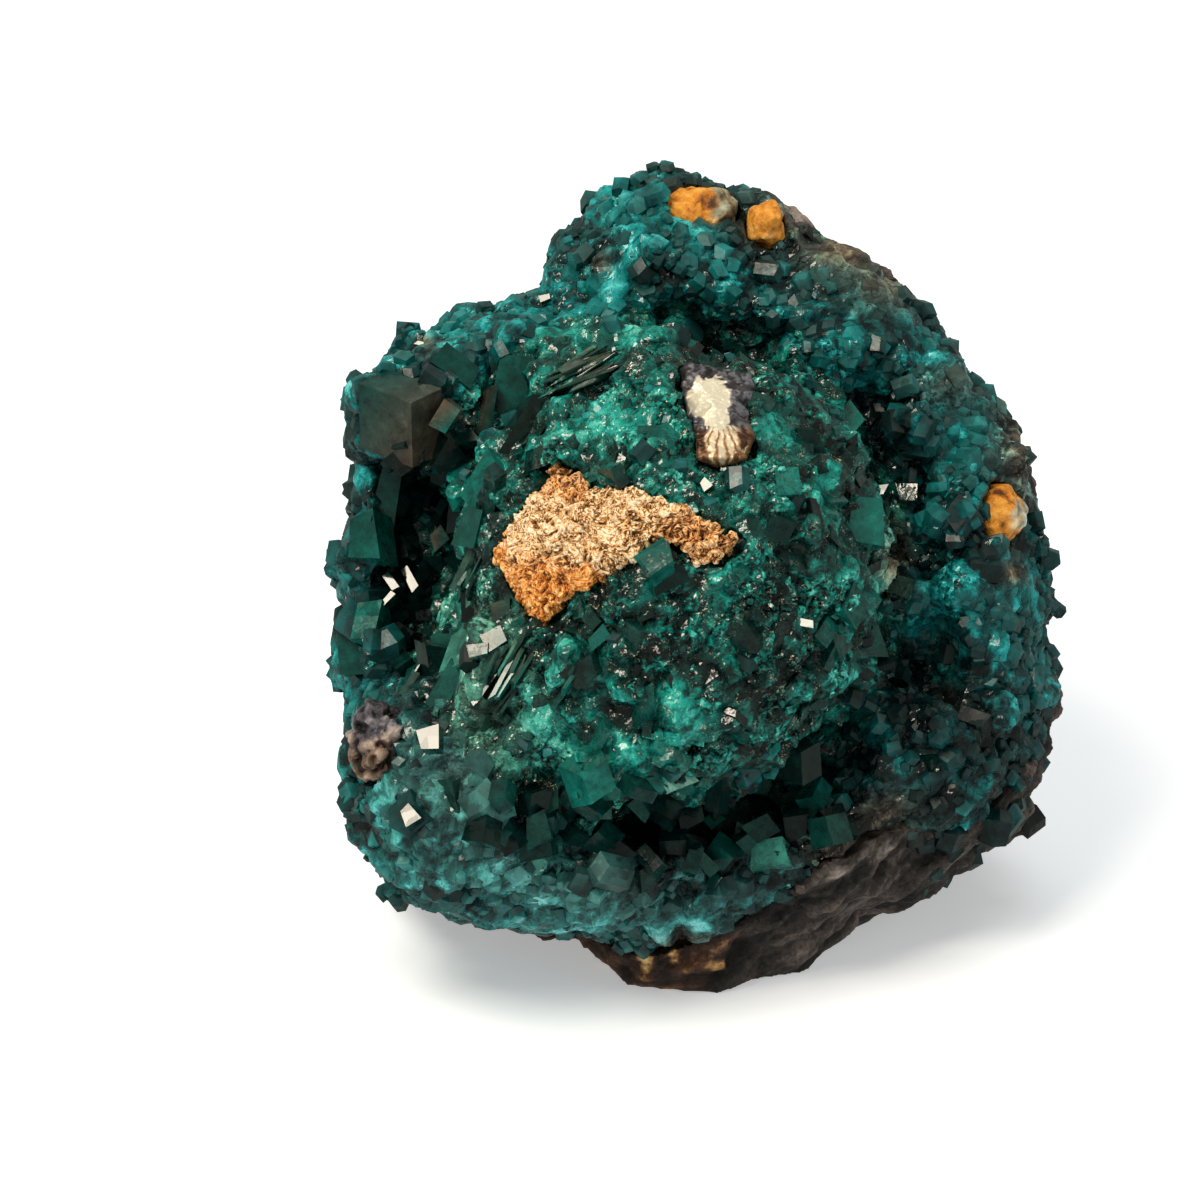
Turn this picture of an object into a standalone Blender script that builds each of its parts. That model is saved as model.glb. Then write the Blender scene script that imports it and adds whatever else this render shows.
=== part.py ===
"""A dioptase specimen: a druse of green crystals grown on a lump of brown host rock.

The form is laid out as it is seen from the front, in millimetres: across to the right, up, and toward
the viewer. It is then turned down by the viewer's tilt, so that it stands on its foot, and moved so
that the origin is at the middle of its underside. The objects are in metres, +Z up.
"""

import functools
import itertools
import math
import random

import bmesh
import bpy
import numpy as np

MM = 0.001

# Driving dimensions, in millimetres and radians
VIEW_DISTANCE = 260.0
VIEW_TILT = math.radians(20.0)
FOOT_LEVEL = -29.2
ORIGIN_ACROSS = 7.425
ORIGIN_BACK = 14.07
GAP = 0.3
BODY_STEP = 2.0
BODY_SHARE = 0.085
PLACE_STEP = 2.6
LOW_CORNER = (-24.0, -34.0, -42.0)
HIGH_CORNER = (38.0, 36.0, 20.0)

# The outline of the specimen as the viewer sees it: across and up
OUTLINE = [
    (4.9, 29.6), (9.5, 28.2), (11.9, 28.5), (16.5, 24.8), (20.0, 23.0), (23.2, 18.9), (27.6, 13.4),
    (30.0, 9.3), (30.7, 4.0), (31.2, -6.0), (31.4, -9.5), (30.2, -11.6), (30.0, -15.1), (23.1, -20.5),
    (18.9, -22.0), (11.2, -26.8), (8.4, -27.6), (3.2, -27.6), (-0.7, -23.7), (-6.8, -22.6),
    (-14.8, -19.6), (-17.6, -12.0), (-17.6, -1.4), (-16.4, 5.0), (-15.2, 9.7), (-15.8, 15.0),
    (-13.5, 17.6), (-9.9, 19.2), (-3.4, 21.8), (-2.4, 24.9), (0.8, 28.4),
]
SLAB_ROUND = 11.0
SLAB_FRONT = 9.0
SLAB_BACK = 19.0
SLAB_MIDDLE = -15.0
SLAB_CENTRE_ACROSS = 6.0
SLAB_TURN = 0.12
SLAB_LEAN = 0.1
SLAB_SQUARENESS = 2.4
SLAB_SCALE = 8.0
# Bumps of the whole surface: size and height
SURFACE_LUMPS = [(11.0, 0.45), (5.5, 0.22)]
# How far the bumps' rows bend, and how much slower the bends and the second rows run
LUMP_BENDS = (1.3, 1.1, 0.9)
BEND_PACES = (0.6, 0.7, 0.5)
ROW_PACES = (0.8, 0.9, 0.6)
SECOND_ROW_START = 1.7

# Lumps: centre (across, up, toward), radii, and roll in degrees
LOBES = {
    "front_lobe": ((4.6, 0.2, -3.0), (14.4, 15.4, 15.5), 10),
    "lobe_shoulder": ((9.6, 4.0, -2.0), (10.2, 10.0, 12.5), 0),
    "lobe_crown": ((1.0, 13.4, -5.0), (6.6, 5.4, 8.5), 10),
    "lobe_brow": ((7.4, 11.8, -1.5), (8.6, 5.4, 9.0), -12),
    "lobe_corner": ((15.0, 8.8, -5.0), (4.4, 5.2, 7.5), 0),
    "lobe_flank": ((-4.6, 5.2, -3.5), (5.4, 7.6, 8.5), -18),
    "lobe_skirt": ((-3.4, -5.0, -1.0), (9.0, 7.5, 10.5), 40),
    "lobe_keel": ((2.6, -9.2, -1.0), (9.5, 6.0, 11.5), 12),
    "left_foot": ((-9.3, -13.4, 0.0), (8.2, 8.2, 9.0), 0),
    "low_front": ((-2.4, -18.4, -3.0), (8.6, 4.6, 7.5), -4),
    "low_band": ((11.0, -18.4, -8.5), (12.0, 4.6, 7.5), 22),
    "upper_left": ((-11.2, 13.4, -8.0), (4.6, 4.6, 6.5), 0),
    "left_shelf": ((-6.0, 15.2, -12.0), (8.0, 4.6, 8.0), 20),
    "left_rim": ((-15.6, 2.0, -11.0), (2.0, 9.0, 7.0), 0),
    "right_wall": ((25.6, -1.5, -15.0), (5.0, 16.0, 9.0), 0),
    "right_flank": ((22.0, -11.0, -10.0), (7.0, 6.0, 6.5), 30),
    "upper_right": ((17.6, 15.8, -17.0), (10.0, 5.4, 8.5), -48),
    "top_peak": ((4.0, 22.8, -19.0), (6.0, 5.0, 9.0), -10),
    "host_tip": ((6.6, -23.6, -11.0), (6.4, 4.2, 6.0), 0),
    "host_ridge": ((15.0, -19.0, -10.5), (10.5, 2.7, 5.0), 38),
}
LOBE_BLEND = 1.6

HOLLOWS = {
    "left_vug": ((-12.9, 3.2, -2.0), (3.4, 8.0, 8.5), -4),
    "top_valley": ((8.4, 18.2, -9.0), (6.4, 1.9, 4.8), -14),
    "right_valley": ((20.6, 9.0, -7.5), (2.4, 9.0, 7.5), 22),
    "right_pit": ((23.4, -3.6, -7.5), (2.7, 4.0, 3.5), 0),
    "low_cleft": ((3.0, -15.9, 0.0), (8.8, 1.6, 5.0), 8),
    "side_cleft": ((14.5, -11.6, -3.0), (6.6, 2.0, 6.5), 38),
}
HOLLOW_BLEND = 1.0

# The host rock is behind this depth, and under this line where it comes to the front: across and up
HOST_DEPTH = -22.0
HOST_LINE = [
    (-2.0, -24.4), (2.0, -23.2), (7.0, -21.4), (11.2, -19.0), (14.0, -16.3), (18.2, -13.8),
    (22.4, -13.4), (25.5, -16.0), (28.0, -14.4), (32.0, -11.0),
]
HOST_LINE_DEPTH = -9.0
HOST_LINE_SLOPE = 0.5
HOST_BLEND = 3.0
SWELL_BLEND = 1.5
SEAM_LUMPS = (9.0, 0.4)
# Where it shows at the rim: centre and radii
HOST_SWELLS = {
    "upper_rim": ((18.5, 26.0, -22.0), (8.5, 4.2, 6.0)),
    "right_rim": ((31.5, 10.5, -20.0), (2.6, 6.0, 5.0)),
    "right_corner": ((33.0, -10.0, -18.0), (3.2, 4.0, 6.0)),
}
SEAM_STEP = 3.0
SEAM_SHARE = 0.05

# Ledges on the host rock, where its beds break off: centre, half sizes (long, thick, deep), and roll
LEDGES = [
    ((12.5, -20.6, -8.2), (7.6, 0.55, 3.0), 36),
    ((16.4, -19.0, -7.8), (7.0, 0.5, 3.0), 37),
    ((18.6, -15.6, -6.6), (4.6, 0.6, 3.0), 33),
    ((25.2, -16.6, -12.4), (4.6, 0.7, 3.4), 34),
    ((27.8, -13.2, -12.0), (2.4, 0.8, 3.0), 30),
]
LEDGE_TAPER = 0.25

# Crystals that stand out: tip (across, up), radius, lean (right, up), and turn of one edge in degrees
CRYSTALS = {
    "corner_cube": ((-13.1, 13.8), 3.9, (0.1, 0.11), 154),
    "small_cube": ((-11.2, 14.1), 1.4, (0.5, 0.1), 60),
    "pink_neighbour": ((-11.0, 11.6), 1.7, (0.3, 0.3), 20),
    "rim_block": ((-9.0, 9.6), 2.2, (-0.3, 0.5), 100),
    "left_shelf_block": ((-10.4, 17.0), 2.1, (-0.2, 0.6), 30),
    "vug_high": ((-13.4, 7.6), 1.9, (0.6, 0.1), 75),
    "vug_middle": ((-13.8, 2.6), 2.2, (0.7, 0.0), 15),
    "vug_low": ((-13.0, -2.0), 2.0, (0.4, 0.5), 80),
    "vug_wall": ((-10.6, 4.0), 1.7, (-0.6, 0.1), 40),
    "left_edge": ((-16.2, -3.4), 1.6, (-0.6, 0.2), 10),
    "left_foot_top": ((-12.0, -9.8), 2.0, (-0.2, 0.5), 115),
    "left_foot_face": ((-13.2, -15.2), 1.8, (-0.4, -0.1), 65),
    "left_foot_front": ((-8.2, -14.6), 1.9, (0.0, -0.1), 25),
    "left_foot_low": ((-9.6, -19.4), 1.7, (-0.2, -0.6), 90),
    "lobe_left": ((-8.4, -3.4), 1.9, (-0.5, 0.1), 10),
    "lobe_left_high": ((-7.4, 7.4), 1.8, (-0.6, 0.2), 50),
    "lobe_brow": ((-1.6, 14.6), 2.1, (-0.3, 0.5), 85),
    "lobe_brow_right": ((12.8, 14.4), 1.7, (0.3, 0.6), 30),
    "clear_crystal": ((17.2, 13.0), 1.3, (0.5, 0.5), 0),
    "lobe_right_block": ((18.0, 6.8), 2.2, (0.5, 0.1), 95),
    "lobe_right_low": ((17.6, -0.4), 1.9, (0.6, -0.1), 45),
    "dark_face": ((10.0, -1.2), 2.1, (0.2, -0.2), 20),
    "dark_face_low": ((2.6, -6.2), 2.0, (0.1, -0.2), 70),
    "dark_face_left": ((-2.2, -4.8), 2.0, (-0.1, -0.1), 100),
    "lobe_chin": ((5.0, -12.0), 1.8, (0.1, -0.5), 35),
    "cleft_cube_left": ((-4.6, -15.6), 1.9, (0.2, 0.1), 110),
    "cleft_cube_middle": ((-1.0, -15.4), 1.6, (0.1, 0.2), 50),
    "cleft_triangle": ((7.6, -14.4), 2.2, (0.2, 0.3), 90),
    "cleft_great_cube": ((12.4, -12.6), 2.6, (0.2, 0.3), 40),
    "cleft_right_cube": ((16.8, -9.6), 1.9, (0.3, 0.2), 10),
    "band_cube_left": ((-0.6, -20.0), 1.7, (0.0, -0.3), 70),
    "band_cube_middle": ((6.0, -18.2), 1.6, (0.1, -0.1), 20),
    "pit_cube": ((24.0, -4.0), 2.0, (-0.3, 0.1), 55),
    "wall_cube": ((23.0, -9.2), 1.8, (0.1, 0.0), 95),
    "wall_edge": ((29.6, -3.0), 1.6, (0.6, 0.0), 30),
    "valley_cube": ((21.6, 12.6), 1.8, (-0.2, 0.2), 65),
    "upper_right_block": ((18.4, 18.4), 1.9, (0.2, 0.4), 5),
    "top_valley_block": ((10.0, 19.2), 1.8, (0.0, 0.4), 80),
    "peak_left": ((-0.8, 23.6), 1.9, (-0.5, 0.3), 40),
    "peak_front": ((3.6, 24.4), 1.7, (-0.1, 0.3), 100),
}
# Smaller crystals all over the druse: how far apart, radii, rise as a share of the radius, and how
# much their lean strays
FRONT_SPACING = 4.6
BACK_SPACING = 7.0
FRONT_FACING = 0.2
SMALLEST_CRYSTAL = 1.1
LARGEST_CRYSTAL = 1.9
LEAST_RISE = 0.5
MOST_RISE = 0.8
STRAY = 0.35
CRYSTAL_SEED = 11
# How near they come to the host rock, over the specimen's outline, and to the pieces set in the druse
SEAM_CLEARANCE = 3.0
OVER_OUTLINE = 0.4
PIECE_CLEARANCE = 1.2

# Dioptase grows six-sided prisms, and the angle between its rhomb faces sets how far the tip stands
# over the prism's corners
SIDES = 6
TIP_DROP = 0.62
CRYSTAL_ROOT = 1.6
SMALL_CRYSTAL_ROOT = 0.6
# Turned by this many degrees, a crystal looks the same again
SAME_AGAIN = 120.0

# Pieces that lie in the druse, as the viewer sees their outlines: across and up
OCHRE_OUTLINE = [
    (-3.4, 9.4), (-1.7, 9.0), (-0.6, 7.9), (3.0, 7.6), (5.5, 6.7), (8.1, 5.3), (10.0, 4.3), (9.7, 3.5),
    (7.6, 2.3), (5.9, 3.5), (4.6, 4.5), (3.6, 3.4), (2.3, 2.9), (0.1, 1.1), (-2.0, 0.6), (-2.7, -0.5),
    (-3.9, -2.0), (-5.5, 0.1), (-7.5, 3.4), (-6.8, 4.1), (-5.3, 6.2), (-3.6, 7.8), (-4.3, 8.9),
]
PLATE_OUTLINE = [
    (5.5, 16.5), (8.1, 16.2), (11.1, 15.5), (10.4, 13.8), (10.2, 12.5), (10.8, 11.2), (10.5, 10.2),
    (9.5, 9.5), (8.1, 9.4), (6.9, 9.8), (6.8, 11.5), (6.4, 12.7), (5.7, 15.3),
]
CRUST_STEP = 1.0
CRUST_SHARE = 0.11
OCHRE_RISE = 0.9
OCHRE_EDGE = 0.8
OCHRE_LOWEST = -8.0
SEAT_DEPTH = 1.0
PLATE_RISE = 1.1
PLATE_SUNK = 1.2
OCHRE_LUMPS = (2.9, 0.16)
# The seat of each is open this far outward, and both lie between these corners
HEADROOM = 3.0
CRUST_LOW = (-10.0, -5.0, -10.0)
CRUST_HIGH = (13.0, 19.0, 16.0)
# Lumps that sit in the surface: centre (across, up) and radii
KNOBS = {
    "limonite_crest": ((6.7, 27.1), (2.9, 1.8, 2.4)),
    "limonite_knob": ((11.6, 26.3), (1.3, 1.6, 2.0)),
    "limonite_spot": ((28.0, 6.0), (1.7, 2.1, 2.0)),
    "rock_patch": ((-15.6, -10.0), (2.0, 2.7, 2.4)),
}
KNOB_SUNK = 0.4
KNOB_LUMPS = (2.7, 0.24)
KNOB_CLEARANCE = 1.6
KNOB_STEP = 0.8
KNOB_SHARE = 0.12

# The ground that cuts the foot level
GROUND_DEPTH = 30.0
GROUND_WIDTH = 120.0

# How finely the surface is felt for, along a slope and along a line of sight
SLOPE_STEP = 0.4
DEPTH_STEP = 0.2
TINY = 1e-9
# How near to a grid corner a point of the surface may come, as a share of the edge
CORNER_MARGIN = 0.02

# Colour, roughness and metal of each piece
LOOKS = {
    "dioptase_druse": ((0.01, 0.16, 0.13), 0.25, 0.0),
    "host_rock": ((0.13, 0.09, 0.065), 0.8, 0.0),
    "ochre_crust": ((0.75, 0.42, 0.12), 0.55, 0.0),
    "cleavage_plate": ((0.45, 0.42, 0.45), 0.25, 0.6),
    "limonite_crest": ((0.55, 0.24, 0.04), 0.8, 0.0),
    "limonite_knob": ((0.5, 0.22, 0.04), 0.8, 0.0),
    "limonite_spot": ((0.55, 0.24, 0.04), 0.8, 0.0),
    "rock_patch": ((0.2, 0.16, 0.13), 0.8, 0.0),
}

# How a tetrahedron is cut, with its corners inside the surface first: how many are inside, and the
# edges that each triangle's corners are on
TETRAHEDRON_CUTS = [
    (1, [(0, 1), (0, 2), (0, 3)]),
    (2, [(0, 2), (0, 3), (1, 3)]),
    (2, [(0, 2), (1, 3), (1, 2)]),
    (3, [(0, 3), (1, 3), (2, 3)]),
]


def ellipsoid(points, centre, radii, roll=0):
    """The rough signed distance to an ellipsoid that is rolled about the viewer's line of sight."""
    turn = math.radians(roll)
    off = points - np.array(centre)
    across = off[..., 0] * math.cos(turn) + off[..., 1] * math.sin(turn)
    up = off[..., 1] * math.cos(turn) - off[..., 0] * math.sin(turn)
    local = np.stack([across, up, off[..., 2]], -1) / np.array(radii)
    near = np.linalg.norm(local, axis=-1) + TINY
    slope = np.linalg.norm(local / np.array(radii), axis=-1) + TINY
    return near * (near - 1.0) / slope


def blend_join(a, b, width):
    """The smooth union of two signed distances."""
    share = np.clip(0.5 + 0.5 * (b - a) / width, 0.0, 1.0)
    return b * (1.0 - share) + a * share - width * share * (1.0 - share)


def outline_distance(points, outline):
    """The signed distance, as the viewer sees it, to a closed outline: negative inside."""
    flat = points[..., :2]
    corners = np.array(outline)
    best = np.full(flat.shape[:-1], np.inf)
    inside = np.zeros(flat.shape[:-1], bool)
    for start, end in zip(corners, np.roll(corners, -1, axis=0)):
        edge = end - start
        off = flat - start
        along = np.clip((off @ edge) / (edge @ edge), 0.0, 1.0)
        best = np.minimum(best, np.linalg.norm(off - along[..., None] * edge, axis=-1))
        crosses = (start[1] > flat[..., 1]) != (end[1] > flat[..., 1])
        rise = edge[1] if abs(edge[1]) > TINY else TINY
        where = start[0] + edge[0] * (flat[..., 1] - start[1]) / rise
        inside ^= crosses & (flat[..., 0] < where)
    return np.where(inside, -best, best)


def slab(points):
    """The pillow-shaped rear mass, which fills the outline at its widest depth."""
    widest = SLAB_MIDDLE - SLAB_TURN * (points[..., 0] - SLAB_CENTRE_ACROSS) - SLAB_LEAN * points[..., 1]
    rim = np.maximum(outline_distance(points, OUTLINE) + SLAB_ROUND, 0.0) / SLAB_ROUND
    off = points[..., 2] - widest
    depth = np.where(off > 0, off / SLAB_FRONT, -off / SLAB_BACK)
    square = rim**SLAB_SQUARENESS + depth**SLAB_SQUARENESS
    return (square ** (1 / SLAB_SQUARENESS) - 1.0) * SLAB_SCALE


def lumps(points, size, height):
    """Rolling bumps of about one size, for a surface that nothing made flat."""
    u, v, w = np.moveaxis(points * (2.0 * math.pi / size), -1, 0)
    bends = [bend * np.sin(pace * row) for bend, pace, row in zip(LUMP_BENDS, BEND_PACES, (v, w, u))]
    first = np.sin(u + bends[0]) * np.sin(v + bends[1])
    deep, up, across = ROW_PACES
    second = np.sin(deep * w + bends[2] + SECOND_ROW_START) * np.sin(up * v + across * u)
    return height * (first + second)


def form(points):
    """The signed distance to the whole specimen, without its crystals and its foot."""
    made = slab(points)
    for centre, radii, roll in LOBES.values():
        made = blend_join(made, ellipsoid(points, centre, radii, roll), LOBE_BLEND)
    for centre, radii, roll in HOLLOWS.values():
        made = -blend_join(-made, ellipsoid(points, centre, radii, roll), HOLLOW_BLEND)
    return made + sum(lumps(points, *measures) for measures in SURFACE_LUMPS)


def host_side(points):
    """Negative in the host rock and positive in the druse: the rough distance to their seam."""
    line = np.interp(points[..., 0], *zip(*HOST_LINE))
    under = points[..., 1] - line + HOST_LINE_SLOPE * (points[..., 2] - HOST_LINE_DEPTH)
    side = blend_join(points[..., 2] - HOST_DEPTH, under, HOST_BLEND)
    for centre, radii in HOST_SWELLS.values():
        side = blend_join(side, ellipsoid(points, centre, radii), SWELL_BLEND)
    return side + lumps(points, *SEAM_LUMPS)


def ochre(points, grow=0.0):
    """A crumpled skin that lies in the front of the lobe."""
    across = outline_distance(points, OCHRE_OUTLINE)
    depth = form(points)
    over = depth - OCHRE_RISE * (1.0 - np.exp(np.minimum(across, 0.0) / OCHRE_EDGE))
    over = over - HEADROOM * (grow > 0.0)
    behind = OCHRE_LOWEST - points[..., 2]
    crumple = lumps(points, *OCHRE_LUMPS) if grow == 0.0 else 0.0
    return np.maximum.reduce([across, over, -SEAT_DEPTH - depth, behind]) - grow + crumple


def plate_plane():
    """The slopes across and up and the depth of the plane that best fits the lobe under the plate."""
    corners = np.array(PLATE_OUTLINE)
    depths = np.array([front_depth(across, up) for across, up in corners])
    measures = np.column_stack([corners, np.ones(len(corners))])
    return np.linalg.lstsq(measures, depths, rcond=None)[0]


def plate(points, grow=0.0):
    """A flat cleaved plate that lies in the lobe's brow."""
    slope_across, slope_up, depth = plate_plane()
    plane = slope_across * points[..., 0] + slope_up * points[..., 1] + depth
    over = points[..., 2] - plane - PLATE_RISE - HEADROOM * (grow > 0.0)
    under = plane - PLATE_SUNK - points[..., 2]
    return np.maximum.reduce([outline_distance(points, PLATE_OUTLINE), over, under]) - grow


def knob_centre(name):
    (across, up), radii = KNOBS[name]
    return across, up, front_depth(across, up) - KNOB_SUNK * radii[2]


def knob(points, centre, radii, grow=0.0):
    rough = lumps(points, *KNOB_LUMPS) if grow == 0.0 else 0.0
    return ellipsoid(points, centre, radii) - grow + rough


def outward(points):
    """The direction away from the surface."""
    slope = [form(points + shift) - form(points - shift) for shift in SLOPE_STEP * np.eye(3)]
    slope = np.stack(slope, -1)
    return slope / np.linalg.norm(slope, axis=-1, keepdims=True)


def front_depth(across, up):
    """How far toward the viewer the surface is at one spot of the view."""
    toward = np.arange(HIGH_CORNER[2], LOW_CORNER[2], -DEPTH_STEP)
    line = np.stack([np.full(toward.shape, across), np.full(toward.shape, up), toward], -1)
    return toward[np.argmax(form(line) < 0.0)]


def level_surface(field, low, high, step):
    """Points and triangles of the surface where a field crosses zero, cut tetrahedron by tetrahedron."""
    axes = [np.arange(a, b + step, step) for a, b in zip(low, high)]
    grid = np.stack(np.meshgrid(*axes, indexing="ij"), -1)
    value = field(grid).ravel()
    number = np.arange(value.size).reshape(grid.shape[:3])
    corner = {}
    for shift in itertools.product((0, 1), repeat=3):
        window = tuple(slice(s, n - 1 + s) for s, n in zip(shift, number.shape))
        corner[shift] = number[window].ravel()
    ends = []
    outs = []
    for order in itertools.permutations(range(3)):
        shift = [0, 0, 0]
        four = [corner[0, 0, 0]]
        for axis in order:
            shift[axis] = 1
            four.append(corner[tuple(shift)])
        four = np.stack(four, 1)
        within = value[four] < 0.0
        sort = np.argsort(~within, axis=1, kind="stable")
        four = np.take_along_axis(four, sort, 1)
        count = within.sum(1)
        for held, corners in TETRAHEDRON_CUTS:
            found = four[count == held]
            ends.append(np.stack([found[:, pair] for pair in corners], 1))
            outs.append(found[:, -1] if held < 3 else found[:, 3])
    ends = np.sort(np.concatenate(ends), axis=2)
    outs = np.concatenate(outs)
    edges, faces = np.unique(ends.reshape(-1, 2), axis=0, return_inverse=True)
    first, last = value[edges[:, 0]], value[edges[:, 1]]
    share = np.clip(first / (first - last), CORNER_MARGIN, 1 - CORNER_MARGIN)[:, None]
    flat = grid.reshape(-1, 3)
    points = flat[edges[:, 0]] * (1.0 - share) + flat[edges[:, 1]] * share
    faces = faces.reshape(-1, 3)
    a, b, c = np.moveaxis(points[faces], 1, 0)
    facing = np.einsum("ij,ij->i", np.cross(b - a, c - a), flat[outs] - a)
    faces[facing < 0] = faces[facing < 0][:, ::-1]
    return points, faces


def stand(points):
    """From the viewer's frame to the standing specimen's, in metres."""
    points = np.asarray(points, float)
    spread = (VIEW_DISTANCE - points[..., 2]) / VIEW_DISTANCE
    across = points[..., 0] * spread
    up = points[..., 1] * spread
    toward = points[..., 2]
    back = up * math.sin(VIEW_TILT) - toward * math.cos(VIEW_TILT)
    height = up * math.cos(VIEW_TILT) + toward * math.sin(VIEW_TILT) - FOOT_LEVEL
    return np.stack([across - ORIGIN_ACROSS, back - ORIGIN_BACK, height], -1) * MM


def mesh_object(name, points, faces, hidden=False):
    """A mesh object from points in the viewer's frame; a hidden one is a cutter or a filler."""
    mesh = bpy.data.meshes.new(name)
    mesh.from_pydata([tuple(p) for p in stand(points)], [], [tuple(map(int, f)) for f in faces])
    mesh.update()
    made = bpy.data.objects.new(name, mesh)
    bpy.context.scene.collection.objects.link(made)
    if hidden:
        made.hide_render = True
        made.display_type = "WIRE"
    return made


def shape_of(name, field, step, share, low=LOW_CORNER, high=HIGH_CORNER, hidden=False):
    """An object of the surface where a field crosses zero, thinned to a share of its faces."""
    points, faces = level_surface(field, low, high, step)
    made = mesh_object(name, points, faces, hidden)
    thin = made.modifiers.new("Fewer faces", "DECIMATE")
    thin.ratio = share
    settle(made)
    return made


def settle(thing):
    """Makes what the modifiers do part of the mesh."""
    bpy.context.view_layer.update()
    graph = bpy.context.evaluated_depsgraph_get()
    mesh = bpy.data.meshes.new_from_object(thing.evaluated_get(graph))
    thing.modifiers.clear()
    old = thing.data
    thing.data = mesh
    bpy.data.meshes.remove(old)


def boolean(thing, other, operation, crossing=False):
    """Joins or cuts, and removes the other object."""
    modifier = thing.modifiers.new(operation.title(), "BOOLEAN")
    modifier.operation = operation
    modifier.object = other
    modifier.use_self = crossing
    settle(thing)
    bpy.data.objects.remove(other)


def crystal(tip, axis, radius, turn, reach):
    """A six-sided prism under three rhomb faces that meet at the tip, as dioptase grows."""
    axis = np.array(axis) / np.linalg.norm(axis)
    side = np.cross((0.0, 1.0, 0.0), axis)
    side /= np.linalg.norm(side)
    rise = np.cross(axis, side)
    points = [np.array(tip, float)]
    for ring in range(2):
        for corner in range(SIDES):
            angle = math.radians(turn) + 2.0 * math.pi * corner / SIDES
            drop = reach if ring else radius * TIP_DROP * (1 + corner % 2)
            out = math.cos(angle) * side + math.sin(angle) * rise
            points.append(points[0] + radius * out - drop * axis)
    faces = [(0, 1 + corner, 2 + corner, 1 + (corner + 2) % 6) for corner in (0, 2, 4)]
    for corner in range(SIDES):
        following = (corner + 1) % SIDES
        faces.append((1 + following, 1 + corner, 7 + corner, 7 + following))
    faces.append((12, 11, 10, 9, 8, 7))
    return points, faces


def named_crystals():
    """The crystals that stand out, each with its tip over the surface at its place."""
    for (across, up), radius, lean, turn in CRYSTALS.values():
        tip = (across, up, front_depth(across, up) + radius)
        yield crystal(tip, (*lean, 1.0), radius, turn, (2 * TIP_DROP + CRYSTAL_ROOT) * radius)


def scattered_crystals(points):
    """Smaller crystals over the druse, spaced out among the points of its surface."""
    draw = random.Random(CRYSTAL_SEED)
    taken = [(across, up, front_depth(across, up)) for (across, up), *_ in CRYSTALS.values()]
    normals = outward(points)
    clear = (host_side(points) > SEAM_CLEARANCE) & (outline_distance(points, OUTLINE) < OVER_OUTLINE)
    for outline in (OCHRE_OUTLINE, PLATE_OUTLINE):
        beside = outline_distance(points, outline) > PIECE_CLEARANCE
        clear &= beside | (points[:, 2] < OCHRE_LOWEST)
    for name, (_, radii) in KNOBS.items():
        clear &= ellipsoid(points, knob_centre(name), radii) > KNOB_CLEARANCE
    order = list(np.flatnonzero(clear))
    draw.shuffle(order)
    for index in order:
        place, normal = points[index], normals[index]
        spacing = FRONT_SPACING if normal[2] > FRONT_FACING else BACK_SPACING
        near = np.linalg.norm(np.array(taken) - place, axis=1).min()
        stray = np.array([draw.gauss(0, STRAY) for _ in range(3)])
        radius = draw.uniform(SMALLEST_CRYSTAL, LARGEST_CRYSTAL)
        rise = draw.uniform(LEAST_RISE, MOST_RISE) * radius
        turn = draw.uniform(0, SAME_AGAIN)
        if near < spacing:
            continue
        taken.append(place)
        tip = place + normal * rise
        yield crystal(tip, normal + stray, radius, turn, (2 * TIP_DROP + SMALL_CRYSTAL_ROOT) * radius)


def join_crystals(made):
    """One mesh of many crystals, which may cross each other."""
    points, faces = [], []
    for corners, sides in made:
        first = len(points)
        points += corners
        faces += [tuple(first + corner for corner in side) for side in sides]
    return mesh_object("crystals", np.array(points), faces, hidden=True)


def ledge(centre, half, roll):
    """A bed of the host rock that stands out as a ledge."""
    turn = math.radians(roll)
    long = np.array([math.cos(turn), math.sin(turn), 0.0])
    thick = np.array([-math.sin(turn), math.cos(turn), 0.0])
    deep = np.array([0.0, 0.0, 1.0])
    points = []
    for a in (-1, 1):
        for b in (-1, 1):
            for c in (-1, 1):
                short = 1.0 - LEDGE_TAPER * (c > 0)
                off = a * half[0] * short * long + b * half[1] * thick + c * half[2] * deep
                points.append(np.array(centre) + off)
    faces = [(0, 1, 3, 2), (4, 6, 7, 5), (0, 4, 5, 1), (2, 3, 7, 6), (0, 2, 6, 4), (1, 5, 7, 3)]
    return points, faces


def host_block(points):
    """Negative in the host rock's side of the seam, closed off outside the specimen."""
    low, high = np.array(LOW_CORNER) + SEAM_STEP, np.array(HIGH_CORNER) - SEAM_STEP
    beyond = np.abs(points - (low + high) / 2) - (high - low) / 2
    return np.maximum(host_side(points), beyond.max(-1))


def ground():
    """What is under the level that the specimen stands on."""
    deep = GROUND_DEPTH * MM
    wide = GROUND_WIDTH * MM
    mesh = bpy.data.meshes.new("ground")
    shape = bmesh.new()
    bmesh.ops.create_cube(shape, size=1.0)
    bmesh.ops.scale(shape, vec=(wide, wide, deep), verts=shape.verts)
    bmesh.ops.translate(shape, vec=(0, 0, -deep / 2), verts=shape.verts)
    shape.to_mesh(mesh)
    shape.free()
    made = bpy.data.objects.new("ground", mesh)
    bpy.context.scene.collection.objects.link(made)
    made.hide_render = True
    made.display_type = "WIRE"
    return made


def keep_largest(thing):
    """Leaves only the largest part of a mesh that a cut has left in several."""
    whole = bmesh.new()
    whole.from_mesh(thing.data)
    left = set(whole.verts)
    parts = []
    while left:
        part = {left.pop()}
        reached = list(part)
        while reached:
            for link in reached.pop().link_edges:
                found = set(link.verts) - part
                part |= found
                reached += found
        left -= part
        parts.append(part)
    parts.sort(key=len)
    gone = [vertex for part in parts[:-1] for vertex in part]
    bmesh.ops.delete(whole, geom=gone, context="VERTS")
    whole.to_mesh(thing.data)
    whole.free()


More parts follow.
